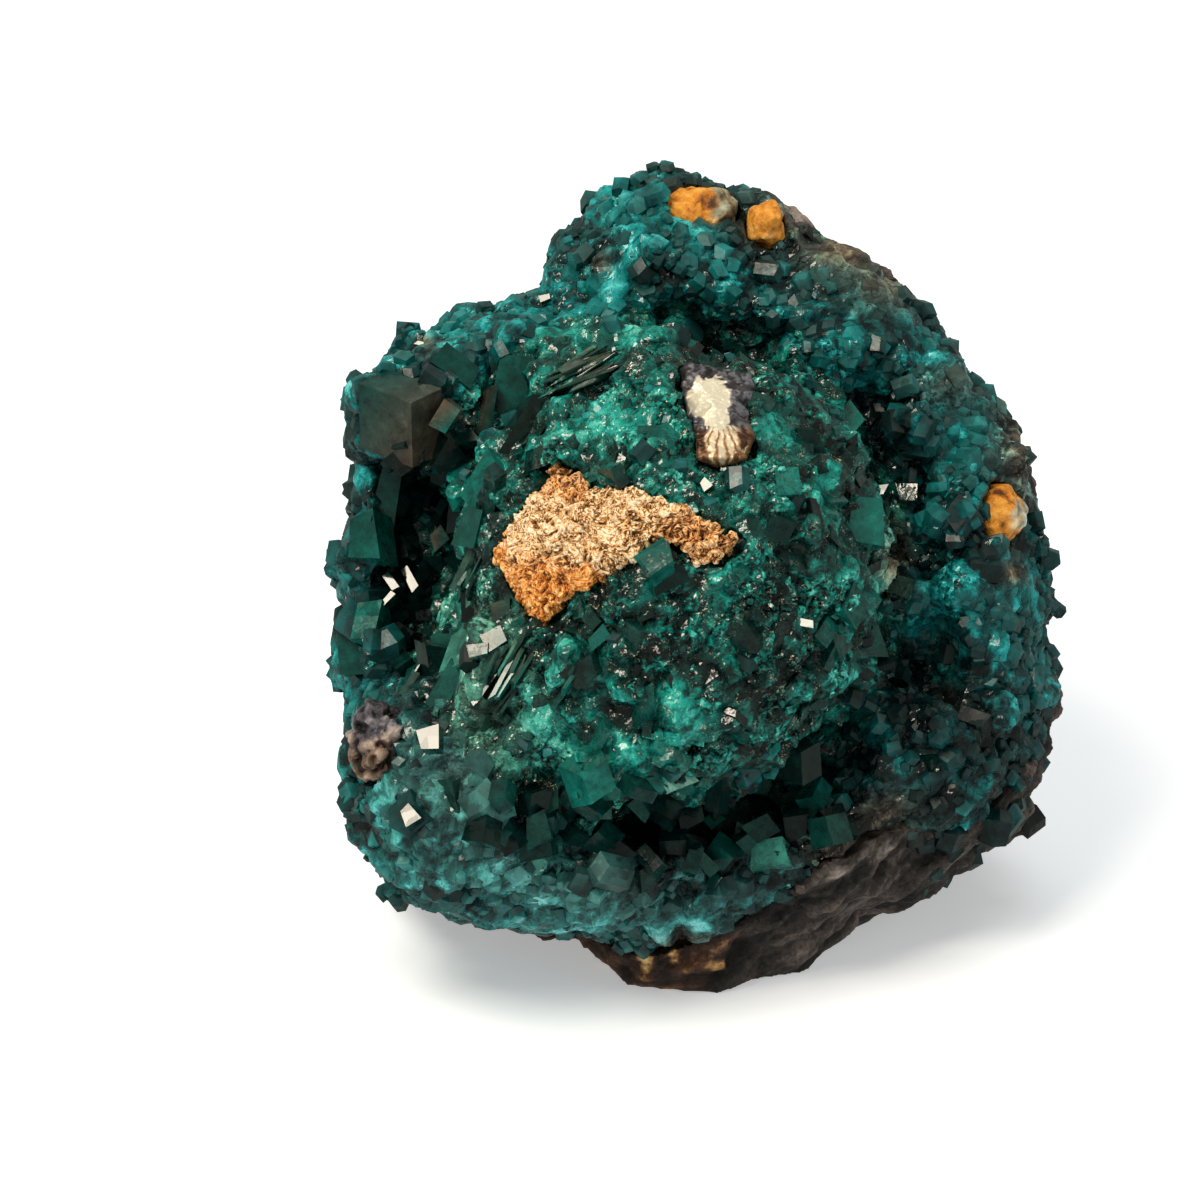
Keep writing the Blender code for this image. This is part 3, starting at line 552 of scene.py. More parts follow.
def square_crystal(corner, first, second, third, rise):
    """A square-cornered block whose nearest corner and three edges look as given, in pixels."""
    first, second, third = np.array((first, second, third))
    ab = -first @ second
    bc = -second @ third
    ac = -first @ third
    depth = math.sqrt(ab * ac / bc)
    edges = [
        (edge[0] * SCREEN_RIGHT - edge[1] * SCREEN_UP - away * TO_CAMERA) * PIXEL
        for edge, away in ((first, depth), (second, ab / depth), (third, ac / depth))
    ]
    steps = (BLOCK_CORNERS + 1) / 2
    return DRUSE.hit(corner) + rise * MM * TO_CAMERA + steps @ np.array(edges)


def facing_crystal(pixel, width, length, turn, lean, rise, thickness=0.7):
    """A block whose outer face looks toward the camera, leaned right and up by degrees."""
    if lean == "glint":
        way = GLINT_WAY
    else:
        right, up = np.tan(np.radians(lean))
        way = unit(TO_CAMERA + right * SCREEN_RIGHT + up * SCREEN_UP)
    side = unit(np.cross(SCREEN_UP, way))
    top = np.cross(way, side)
    angle = math.radians(turn)
    across = math.cos(angle) * side + math.sin(angle) * top
    along = -math.sin(angle) * side + math.cos(angle) * top
    depth = max(thickness * max(width, length), rise + ROOT_DEPTH)
    place = DRUSE.hit(pixel) - rise * MM * sight_line(pixel)
    local = (BLOCK_CORNERS * (width, length, depth) / 2 - (0, 0, depth / 2)) * MM
    local[:, :2] *= np.tile(UNEVEN.uniform(1 - 2 * UNEVEN_SIDES, 1 + UNEVEN_SIDES, (4, 2)), (2, 1))
    return place + local @ np.stack((across, along, way))


def lining(area, spacing, sizes, rises, tones):
    """Crystals crowded in a hollow, each with a face towards the viewer, dark partly of their own and partly
    as painted shade: body, tone, brownness.
    """
    middle, half = np.array(area)
    made = []
    for down in np.arange(-half[1], half[1], spacing):
        for across in np.arange(-half[0], half[0], spacing):
            away = (across, down) + UNEVEN.uniform(-0.4, 0.4, 2) * spacing
            size = UNEVEN.uniform(*sizes, 2)
            lean = UNEVEN.normal(0, LINING_LEAN, 2)
            turn = UNEVEN.uniform(0, 90)
            rise = UNEVEN.uniform(*rises)
            tone = UNEVEN.uniform(*tones)
            if np.linalg.norm(away / half) < 1:
                made.append((facing_crystal(middle + away, *size, turn, tuple(lean), rise), tone, 0.0))
    return made


def blade_bundle(start, end, width, count):
    """Thin blades side by side between two pixels, each tilted a little its own way."""
    start, end = np.array((start, end))
    run = end - start
    length = np.linalg.norm(run)
    turn = math.degrees(math.atan2(run[0], -run[1]))
    beside = np.array((-run[1], run[0])) / length
    blades = []
    for number in range(count):
        offset = width * ((number + 0.5) / count - 0.5)
        middle = (start + end) / 2 + beside * offset + run * UNEVEN.normal(0, 0.1)
        mirrors = UNEVEN.random() < BLADE_GLINTS
        lean = "glint" if mirrors else tuple(UNEVEN.uniform(-BLADE_LEAN, BLADE_LEAN, 2))
        size = np.array((UNEVEN.uniform(0.8, 2.2) * width / count, length * UNEVEN.uniform(0.3, 0.9)))
        twist = UNEVEN.normal(0, 5)
        rise = UNEVEN.uniform(0.2, 0.6)
        blades.append(facing_crystal(middle, *size * PIXEL / MM, twist - turn, lean, rise, BLADE_THICKNESS))
    return blades


def large_bodies():
    """Every large crystal that the photo shows, with its tone and brownness, a painted brown reflection:
    dark, bright and clear ones.
    """
    dark = [body for measures in LININGS.values() for body in lining(*measures)]
    bright = []
    clear = []
    for *measures, tone, brown in SQUARE_CRYSTALS.values():
        dark.append((square_crystal(*measures), tone, brown))
    for *measures, tone, brown in FACING_CRYSTALS.values():
        group = bright if "glint" in measures else dark
        group.append((facing_crystal(*measures), tone, brown))
    for *measures, tone, brown in BLADE_BUNDLES.values():
        dark += [(blade, tone + UNEVEN.normal(0, 0.12), brown) for blade in blade_bundle(*measures)]
    for *measures, tone, brown in CLEAR_CRYSTALS.values():
        clear.append((facing_crystal(*measures), tone, brown))
    return dark, bright, clear


def body_group(name, group):
    """One mesh of large crystals, each painted brown along its nearest edge as a brown-grey reflection and
    green at its far side.
    """
    bodies, tones, brown_reflections = zip(*group)
    looks = np.zeros((len(group), 8, 3))
    looks[..., 0] = np.array(tones)[:, None]
    green_share = 0.35 * (BLOCK_CORNERS[:, 0] + 1) + 0.2 * (1 - BLOCK_CORNERS[:, 1])
    looks[..., 2] = np.array(brown_reflections)[:, None] * (1 - green_share)
    return joined(name, np.array(bodies), BLOCK_FACES, looks)


DARK_BODIES, BRIGHT_BODIES, CLEAR_BODIES = large_bodies()
LARGE = Skin(body_group("all_large", DARK_BODIES + BRIGHT_BODIES + CLEAR_BODIES).data)
bpy.data.objects.remove(bpy.data.objects["all_large"])


def cover(name, bodies, faces, places, rises, size, crumble, tone_change):
    """One mesh of bodies planted at their places, painted paler at their tips as light shining through and
    darker at their roots as shade, with rusty patches and painted warm sheen.
    """
    bodies, heights, inside = planted(bodies, places, rises)
    looks = np.zeros((*heights.shape, 3))
    # Painted light and shade: tips paler as if lit through, roots darker as if in shade
    painted_tip_light = 0.16 * np.clip(heights / (size * MM), -0.7, 0.7)
    looks[..., 0] = (places.tone() + tone_change)[:, None] + painted_tip_light
    looks[..., 1] = crumble[:, None]
    rust = places.rust() + stretch(layered(places.points, 3 * MM, 57), 0.72, 0.8) * 0.3
    looks[..., 2] = rust[:, None]
    return joined(name, bodies[inside], faces, looks[inside])


def thinned(skin, spacing, seed, share):
    """The seeded chance of a cover, and open places over a skin, thinned to a share of them."""
    chance = np.random.default_rng(seed)
    places = spread(skin, spacing * MM, seed)
    wanted = chance.random(len(places.points)) < share(places)
    places = places.only(wanted & open_places(places))
    return chance, places, len(places.points)


def crystal_cover(name, spacing, seed, radius, stray, tall, share, skin=DRUSE):
    """Upright crystals with sloping ends, spread over part of the druse or the rock."""
    chance, places, count = thinned(skin, spacing, seed, share)
    axes = unit(places.normals + chance.normal(0, stray, (count, 3)))
    radii = radius * MM * np.exp(np.clip(chance.normal(0, 0.35, count), -0.6, 0.4))
    rises = radii * chance.uniform(0.25, tall, count)
    bodies = prisms(axes, radii, rises + 1.6 * radii, chance.uniform(0, math.tau, count))
    crumble = chance.uniform(0, 0.15, count)
    tone_change = chance.normal(0, 0.08, count)
    return cover(name, bodies, PRISM_FACES, places, rises, radius, crumble, tone_change)


def block_cover(name, spacing, seed, size, rise, crumble, share, uneven=0.3, upright=0.3):
    """Broken blocks lying every way, sunk so that only corners and edges stand out."""
    chance, places, count = thinned(DRUSE, spacing, seed, share)
    axes = unit(places.normals * upright + chance.normal(0, 1, (count, 3)))
    sizes = size * MM * np.exp(chance.normal(0, uneven, (count, 3)))
    turns = chance.uniform(0, math.tau, count)
    slant = chance.normal(0, 0.25, count)
    bodies = blocks(axes, sizes, turns, slant, chance.uniform(0.6, 1, count))
    rises = size * MM * chance.uniform(*rise, count)
    crumble = chance.uniform(*crumble, count)
    tone_change = chance.normal(0, 0.14, count)
    return cover(name, bodies, BLOCK_FACES, places, rises, size, crumble, tone_change)


def even_skin(source, cell):
    """Places and four-sided faces of an even fine copy of a CAD node."""
    piece = placed("even_copy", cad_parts[source].data.copy())
    cutter = piece.modifiers.new("even", "REMESH")
    cutter.mode = "VOXEL"
    cutter.voxel_size = cell * MM
    mesh = bpy.data.meshes.new_from_object(piece.evaluated_get(bpy.context.evaluated_depsgraph_get()))
    places = Places(mesh_numbers(mesh.vertices, "co", 3), mesh_numbers(mesh.vertices, "normal", 3))
    faces = mesh_numbers(mesh.loops, "vertex_index", 1, int).reshape(-1, 4)
    bpy.data.objects.remove(piece)
    bpy.data.meshes.remove(mesh)
    return places, faces


def skin_piece(name, places, faces, lift, tone, rust, crumble=0.0, smooth=False):
    """A skin lifted by its relief, with tone, crumble and rust at its points."""
    lifted = places.points + places.normals * lift[:, None]
    lifted[:, 2] = np.maximum(lifted[:, 2], CAD_BOX[0][2])
    looks = np.stack(np.broadcast_arrays(tone, crumble, rust), axis=1)
    return mesh_piece(name, lifted, faces.reshape(-1), np.arange(0, faces.size, 4), looks, smooth)


def spun_frames(cells, seed):
    """A turned set of three square axes for each cell."""
    w, x, y, z = unit(scrambled_rows(cells, seed, 4) - 0.5).T
    return np.array((
        (1 - 2 * (y * y + z * z), 2 * (x * y - z * w), 2 * (x * z + y * w)),
        (2 * (x * y + z * w), 1 - 2 * (x * x + z * z), 2 * (y * z - x * w)),
        (2 * (x * z - y * w), 2 * (y * z + x * w), 1 - 2 * (x * x + y * y)),
    )).transpose(2, 0, 1)


# Middle height of the blocks below, over the hollows between them
GROWN_LEVEL = 0.42


def grown_together(points, spacing, seed):
    """Flat-faced blocks that grow into each other: height over their middle, a number for each face."""
    home = np.floor(points / spacing).astype(np.int64)
    best = np.full(len(points), -9.0)
    face_tone = np.zeros(len(points))
    for step in itertools.product((-1, 0, 1), repeat=3):
        cells = home + np.array(step)
        away = points / spacing - cells - scrambled_rows(cells, seed + 10, 3)
        slimness = 0.8 + 0.9 * scrambled_rows(cells, seed + 20, 3)
        reach = np.einsum("nij,nj->ni", spun_frames(cells, seed), away) * slimness
        side = np.abs(reach).argmax(axis=1)[:, None]
        chosen = np.take_along_axis(reach, side, axis=1)
        height = 0.75 + 0.35 * scrambled(cells, seed + 30) - np.abs(chosen[:, 0])
        number = scrambled(cells * 7 + side * 2 + (chosen > 0), seed + 40)
        face_tone = np.where(height > best, number, face_tone)
        best = np.maximum(height, best)
    return best - GROWN_LEVEL, face_tone


def pushed_about(points, size, reach, seed):
    """Points moved this way and that, so that what is worked out from them bends and curls."""
    shift = np.stack([layered(points, size, seed + step) for step in (1, 5, 9)], axis=1) - 0.5
    return points + 2 * reach * shift


def curly_lines(points, size, count, seed):
    """Fine lines that curl like contours round lumps of a size: 0 in the gaps and 1 on the lines."""
    field = layered(pushed_about(points, 0.7 * size, 0.5 * size, seed), size, seed + 20)
    return 0.5 + 0.5 * np.sin(math.tau * count * field)


def soft_spots(pixels, *places):
    """1 at the middles of ovals of the picture, falling to 0 at their edges and minus beyond them."""
    away = [np.linalg.norm((pixels - np.array(middle)) / np.array(half), axis=1) for middle, half in places]
    return 1 - np.min(away, axis=0)


# Spots on the crust, as areas: two smooth ones, orange ones, a stronger orange one, golden ones
CRUST_SMOOTH = (((607, 533), (19, 17)), ((577, 580), (19, 15)))
CRUST_ORANGE = (((540, 605), (40, 48)), ((502, 560), (14, 30)))
CRUST_BLOB = ((577, 583), (28, 20))
CRUST_GOLDEN = (((560, 478), (36, 30)), ((705, 535), (60, 34)))


def ochre_crust():
    """The crumpled crust: cream lines with golden gaps, orange below and at the left."""
    places, faces = even_skin("ochre_crust", 0.07)
    points = places.points
    lump = layered(points, 1.3 * MM, 240) - 0.5
    edge = layered(points, 0.45 * MM, 250) - 0.5
    bent = places.pixels + 30 * np.stack((lump, edge), axis=1)
    smooth = stretch(soft_spots(bent, *CRUST_SMOOTH), 0, 0.3)
    golden = stretch(soft_spots(bent, *CRUST_GOLDEN), 0, 0.4)
    orange = np.maximum(soft_spots(bent, *CRUST_ORANGE), 1.3 * soft_spots(bent, CRUST_BLOB))
    lines = 0.62 * curly_lines(points, 1.9 * MM, 6.5, 200) + 0.38 * curly_lines(points, 0.8 * MM, 3.5, 230)
    folds = lines * (1 - 0.7 * smooth) + 0.55 * smooth
    lift = (0.1 + 0.5 * (folds - 0.5) + 0.9 * lump + 0.6 * edge) * MM
    tone = 0.13 + 0.58 * folds + 0.35 * lump - 0.06 * golden + 0.08 * smooth
    rust = np.minimum(0.2 + stretch(orange, -0.15, 0.3) + 0.45 * golden, 1)
    return skin_piece("ochre_filigree", places, faces, lift, tone, rust, smooth=True)


# Areas on the plate: the glare and its foot, the fan of rays and where these start, brown, a glint
# The glare, the fan and the glint are painted highlights
PLATE_GLARE = (((709, 400), (24, 25)), ((716, 418), (14, 15)))
PLATE_FAN = ((722, 443), (21, 21))
RAYS_START = (719, 414)
PLATE_BROWN = (((745, 450), (15, 22)), ((727, 462), (30, 7)))
PLATE_GLINT = ((742, 449), (6, 4))
# Pixels down to the dark top edge of the plate, and to where it turns from violet to amber
PLATE_TOP = 386
PLATE_AMBER = 424


def cleavage_plate():
    """The cleaved face: violet-grey round a painted pale glare, with a painted pale fan below it and brown
    at its foot.
    """
    places, faces = even_skin("cleavage_plate", 0.08)
    points = places.points
    pixels = places.pixels
    rough = layered(points, 0.5 * MM, 300) - 0.5
    lines = curly_lines(points, 0.9 * MM, 3.0, 310)
    bent = pixels + 7 * np.stack((rough, lines - 0.5), axis=1)
    glare = stretch(soft_spots(bent, *PLATE_GLARE), 0.03, 0.2)
    away = pixels - np.array(RAYS_START)
    rays = 0.5 + 0.5 * np.sin(24 * np.arctan2(away[:, 0], away[:, 1]) + 5 * rough)
    fan = stretch(soft_spots(bent, PLATE_FAN), 0, 0.25) * (0.4 + 0.6 * stretch(rays, 0.05, 0.35))
    glint = stretch(soft_spots(bent, PLATE_GLINT), 0, 0.5)
    # Painted highlights: glare, fan and glint lift the tone toward cream
    pale = np.maximum(np.maximum(glare, 0.85 * fan), 0.8 * glint)
    top = stretch(PLATE_TOP - pixels[:, 1] + 30 * rough, 0, 10)
    tone = 0.15 + 0.2 * (lines - 0.4) + 0.24 * rough - 0.06 * top * (1 - lines)
    brown = stretch(soft_spots(bent, *PLATE_BROWN), 0, 0.3)
    amber = np.maximum(brown, stretch((pixels[:, 1] - PLATE_AMBER) / 12, 0, 1) * (1 - glare))
    lift = (0.12 + 0.1 * rough + 0.06 * (1 - pale) * lines) * MM
    tone = np.maximum(tone, pale * 0.98)
    return skin_piece("cleavage_face", places, faces, lift, tone, amber, smooth=True)


def limonite(name, source, seed):
    """Flat-faced earthy lump, with pale greenish blotches on the side to the right."""
    places, faces = even_skin(source, 0.13)
    points = places.points
    rough = layered(points, 0.9 * MM, seed, 4)
    lift = (0.1 + 0.5 * grown_together(points, 2.2 * MM, seed)[0] + 0.35 * (rough - 0.5)) * MM
    right = (points[:, 0] - points[:, 0].mean()) / MM
    pale = stretch(right + 3 * (layered(points, 1.2 * MM, seed + 9) - 0.5), 0.9, 1.6)
    return skin_piece(name, places, faces, lift, rough, pale)


# Pixels down to where the patch of rock turns from violet to rusty
PATCH_RUST = 738


def rock_patch():
    """Pitted patch of rock: violet-black above and rusty below."""
    places, faces = even_skin("rock_patch", 0.13)
    points = places.points
    rough = layered(points, 0.9 * MM, 400, 4)
    pits = stretch(layered(points, 0.8 * MM, 410, 2), 0.5, 0.64)
    lumps = grown_together(points, 1.4 * MM, 420)[0]
    lift = (0.15 + lumps + 0.6 * (rough - 0.5) - 0.5 * pits) * MM
    rust = stretch((places.pixels[:, 1] - PATCH_RUST) / 20 + 3 * (rough - 0.5), 0, 1)
    return skin_piece("pitted_patch", places, faces, lift, 1.25 * rough - 0.1 - 0.4 * pits, rust)


# Direction of the host rock's beds, which rise to the right as seen, and how much longer they run
# along it than across
BED_WAY = unit(0.82 * SCREEN_RIGHT + 0.57 * SCREEN_UP)
BED_STRETCH = 0.86
# Pale spots on the host rock, as areas: yellow ones at the foot, and grey ones
YELLOW_SPOTS = (((645, 958), (8, 14)), ((673, 957), (6, 12)), ((719, 968), (14, 8)))
GREY_SPOTS = (
    ((841, 874), (16, 9)), ((879, 852), (22, 13)), ((868, 826), (30, 9)), ((800, 215), (34, 16)),
    ((850, 252), (30, 14)), ((985, 410), (16, 40)), ((1010, 470), (14, 34)),
)
# The foot is rusty to the left of and below these pixels
FOOT_RUST = (755, 920)


def rough_spots(places, spots):
    """1 in the middle of each spot as seen from the camera, falling to 0 at its ragged edge."""
    ragged = 1.2 * (layered(places.points, 0.5 * MM, 540) - 0.5)
    return stretch(soft_spots(places.pixels, *spots) - ragged, -0.2, 0.4)


def host_rock():
    """The host rock: ledges along its beds, lumps and broken faces, flat where it stands."""
    places, faces = even_skin("host_rock", 0.34)
    points = places.points
    squeezed = points - BED_STRETCH * (points @ BED_WAY)[:, None] * BED_WAY
    beds = layered(squeezed, 1.1 * MM, 500, 4)
    lumps = layered(points, 2.4 * MM, 510, 4)
    facets = grown_together(points, 2.2 * MM, 520)[0]
    lift = (1.3 * (beds - 0.5) + 0.9 * (lumps - 0.5) + 0.9 * facets) * MM
    lift = lift * stretch(points[:, 2], 0.2 * MM, 1.2 * MM)
    across, down = places.pixels.T
    left = stretch((FOOT_RUST[0] - across) / 40 + 2 * (lumps - 0.5), 0, 1)
    rust = left * stretch((down - FOOT_RUST[1]) / 20, 0, 1)
    yellow = rough_spots(places, YELLOW_SPOTS)
    grey = rough_spots(places, GREY_SPOTS)
    tone = 0.9 * beds + 0.3 * lumps + 0.2 * facets - 0.12 + 0.45 * yellow + 0.3 * grey
    return skin_piece("broken_host", places, faces, lift, tone, np.maximum(rust, yellow))


# Blocks of three sizes that make the surface of the druse: size, how high they stand, seed, how much
# their faces change the tone, and how much their height paints light on the tops and shade between
LARGE_BLOCKS = (3.6, 1.3, 1000, 0.36, 0.3)
MIDDLE_BLOCKS = (1.8, 0.85, 1100, 0.44, 0.3)
SMALL_BLOCKS = (0.75, 0.42, 1200, 0.4, 0.0)
# Least and most height of that surface
LOWEST_LIFT = -0.9 * MM
HIGHEST_LIFT = 0.8 * MM
# How far it stays below the large crystals, and how far it sinks beside them, beside the pieces
# that are set in, and at the border of the sheet
UNDER_LARGE = 0.45 * MM
BY_LARGE = 0.8 * MM
BY_SET_IN = 0.3 * MM
SUNK_BY_LARGE = 0.15 * MM
SUNK_BY_SET_IN = 0.05 * MM
SUNK_AT_BORDER = 0.6 * MM


def druse_surface(name, places, faces, border):
    """Crystal surface of the druse, between and below the crystals that stand on it."""
    points = places.points
    normals = places.normals
    crumble = places.crumbled(0.5) * (0.25 + 0.75 * places.brokenness())
    bent = pushed_about(points, 1.6 * MM, 0.55 * MM, 80)
    lift = np.zeros(len(points))
    tone = places.tone() - 0.04
    for measures, share in ((LARGE_BLOCKS, 1), (MIDDLE_BLOCKS, 1), (SMALL_BLOCKS, crumble)):
        size, high, seed, face_change, painted_height_shade = measures
        height, face_tone = grown_together(bent, size * MM, seed)
        lift += high * MM * height * (0.2 + 0.8 * share)
        # The height term is painted light and shade: raised blocks paler, hollows between them darker
        tone += face_change * share * (face_tone - 0.5) + painted_height_shade * (height + GROWN_LEVEL - 0.5)
    lift = np.clip(lift, LOWEST_LIFT, HIGHEST_LIFT)
    lift = np.minimum(lift, LARGE.room(points - normals * 0.3 * MM, normals, 2 * MM) - UNDER_LARGE)
    beside = LARGE.distance(points, BY_LARGE) / BY_LARGE
    lift = lift * beside - SUNK_BY_LARGE * (1 - beside)
    set_in = np.any([piece.distance(points, BY_SET_IN) < BY_SET_IN for piece in SET_IN], axis=0)
    lift = np.where(set_in, -SUNK_BY_SET_IN, lift) - SUNK_AT_BORDER * (1 - border)
    return skin_piece(name, places, faces, lift, tone, places.rust(), crumble)


def druse_surfaces():
    """The whole druse, and a finer sheet over the boulder at its front."""
    places, faces = even_skin("dioptase_druse", 0.37)
    whole = druse_surface("druse_surface", places, faces, 1 - 0.5 * places.within(BOULDER))
    places, faces = even_skin("dioptase_druse", 0.21)
    on_boulder = places.within(BOULDER)[faces].min(axis=1) > 0.02
    used, faces = np.unique(faces[on_boulder], return_inverse=True)
    sheet = places.only(used)
    border = stretch(sheet.within(BOULDER), 0.0, 0.4)
    return whole, druse_surface("boulder_surface", sheet, faces.reshape(-1, 4), border)


def grainy(places):
    """Share of fine grains: patches on the boulder, few elsewhere."""
    broken = np.maximum(places.within(BOULDER), 0.3 * places.brokenness())
    return 0.5 * places.crumbled(0.52) * broken


def shardy(places):
    """Share of larger broken pieces: over the boulder, between the patches of grains."""
    return 0.6 * (1 - 0.7 * places.crumbled(0.52)) * places.within(BOULDER)


def bare(places):
    """Share left free of upright crystals: on the boulder, in the hollows, on rusty places and where warm
    sheen is painted.
    """
    boulder, vug, cleft = (places.within(area) for area in (BOULDER, VUG, CLEFT))
    rusty = np.minimum(1.6 * places.rust(), 1)
    return np.max((0.95 * boulder, 0.75 * vug, 0.6 * cleft, rusty), axis=0)


def druse_share(places):
    return (1 - bare(places)) * (1 - 0.6 * places.within(LEFT_RIM))


def stout_share(places):
    """Share of wider crystals, most on the rim at the left as seen, and none at the top."""
    low = stretch(places.points[:, 2], 46 * MM, 40 * MM)
    return low * (1 - bare(places)) * np.maximum(0.5, places.within(LEFT_RIM))


def on_rock_share(places):
    """Share of crystals that grow on the host rock: dark ones on its side to the right, as seen."""
    across, down = places.pixels.T
    beyond_ridge = stretch((across - 885) / 30 - (down - 850) / 40, 0, 1) * stretch(down, 740, 780)
    return beyond_ridge * places.front(-0.2, 0.1) * stretch(places.points[:, 2], 3 * MM, 6 * MM)


def hollow_share(places):
    """Share of the wide dark blocks that line the vug at the left and the cleft below."""
    return np.maximum(places.within(VUG), places.within(CLEFT))


# Colours along each tone, from dark to pale
DIOPTASE_TONES = [
    (0.0, (0.001, 0.004, 0.004)), (0.22, (0.002, 0.018, 0.016)), (0.42, (0.003, 0.055, 0.047)),
    (0.6, (0.004, 0.13, 0.108)), (0.78, (0.006, 0.27, 0.225)), (0.93, (0.03, 0.46, 0.38)),
    (1.0, (0.16, 0.62, 0.52)),
]
# The same, bluer, for the crystals away from the boulder
GROWN_TONES = [(place, (red, green, 1.22 * blue)) for place, (red, green, blue) in DIOPTASE_TONES]
RUST_TONES = [
    (0.15, (0.012, 0.009, 0.007)), (0.4, (0.06, 0.042, 0.03)), (0.6, (0.16, 0.105, 0.07)),
    (0.8, (0.30, 0.26, 0.12)), (1.0, (0.55, 0.42, 0.32)),
]
CREAM_TONES = [
    (0.12, (0.05, 0.016, 0.004)), (0.27, (0.30, 0.11, 0.018)), (0.4, (0.78, 0.38, 0.075)),
    (0.54, (0.97, 0.75, 0.38)), (0.76, (1.0, 0.96, 0.77)),
]
ORANGE_TONES = [
    (0.1, (0.05, 0.016, 0.005)), (0.28, (0.36, 0.09, 0.012)), (0.46, (0.82, 0.27, 0.03)),
    (0.74, (0.97, 0.43, 0.075)), (1.0, (1.0, 0.78, 0.42)),
]
PEARL_TONES = [
    (0.0, (0.02, 0.018, 0.02)), (0.16, (0.085, 0.08, 0.092)), (0.32, (0.25, 0.25, 0.30)),
    (0.6, (0.80, 0.68, 0.52)), (0.9, (1.0, 0.93, 0.74)),
]
AMBER_TONES = [
    (0.0, (0.02, 0.012, 0.01)), (0.22, (0.14, 0.065, 0.03)), (0.5, (0.55, 0.32, 0.15)),
    (0.85, (1.0, 0.86, 0.62)),
]
LIMONITE_TONES = [
    (0.25, (0.09, 0.028, 0.004)), (0.42, (0.52, 0.17, 0.01)), (0.62, (0.80, 0.34, 0.035)),
    (0.85, (0.92, 0.56, 0.18)),
]
BLOTCH_TONES = [
    (0.25, (0.08, 0.06, 0.04)), (0.42, (0.28, 0.22, 0.12)), (0.6, (0.42, 0.46, 0.36)),
    (0.85, (0.7, 0.75, 0.62)),
]
HOST_TONES = [
    (0.25, (0.004, 0.0035, 0.0035)), (0.42, (0.016, 0.013, 0.012)), (0.58, (0.045, 0.034, 0.03)),
    (0.75, (0.13, 0.10, 0.088)), (0.95, (0.30, 0.25, 0.22)),
]
PATCH_TONES = [
    (0.2, (0.006, 0.005, 0.007)), (0.42, (0.03, 0.028, 0.036)), (0.6, (0.11, 0.10, 0.125)),
    (0.8, (0.36, 0.33, 0.34)),
]
PATCH_FOOT_TONES = [
    (0.2, (0.01, 0.007, 0.006)), (0.42, (0.085, 0.05, 0.032)), (0.62, (0.24, 0.15, 0.10)),
    (0.85, (0.5, 0.38, 0.30)),
]
FOOT_TONES = [
    (0.25, (0.008, 0.004, 0.003)), (0.45, (0.035, 0.014, 0.007)), (0.62, (0.11, 0.04, 0.014)),
    (0.8, (0.42, 0.22, 0.06)), (1.0, (0.8, 0.58, 0.24)),
]
# Colour of the painted glints: cream specks painted into the broken crystal where it would sparkle
PAINTED_GLINT_COLOR = (0.78, 0.74, 0.5, 1)
DIOPTASE_IOR = 1.62
HALF_GREY = (0.5, 0.5, 0.5)


def add(tree, kind, sockets=None, **settings):
    """A new node of a tree with its settings, and its sockets set or linked."""
    made = tree.nodes.new(kind)
    for name, value in settings.items():
        setattr(made, name, value)
    for socket, value in (sockets or {}).items():
        if isinstance(value, bpy.types.NodeSocket):
            tree.links.new(value, made.inputs[socket])
        else:
            made.inputs[socket].default_value = value
    return made


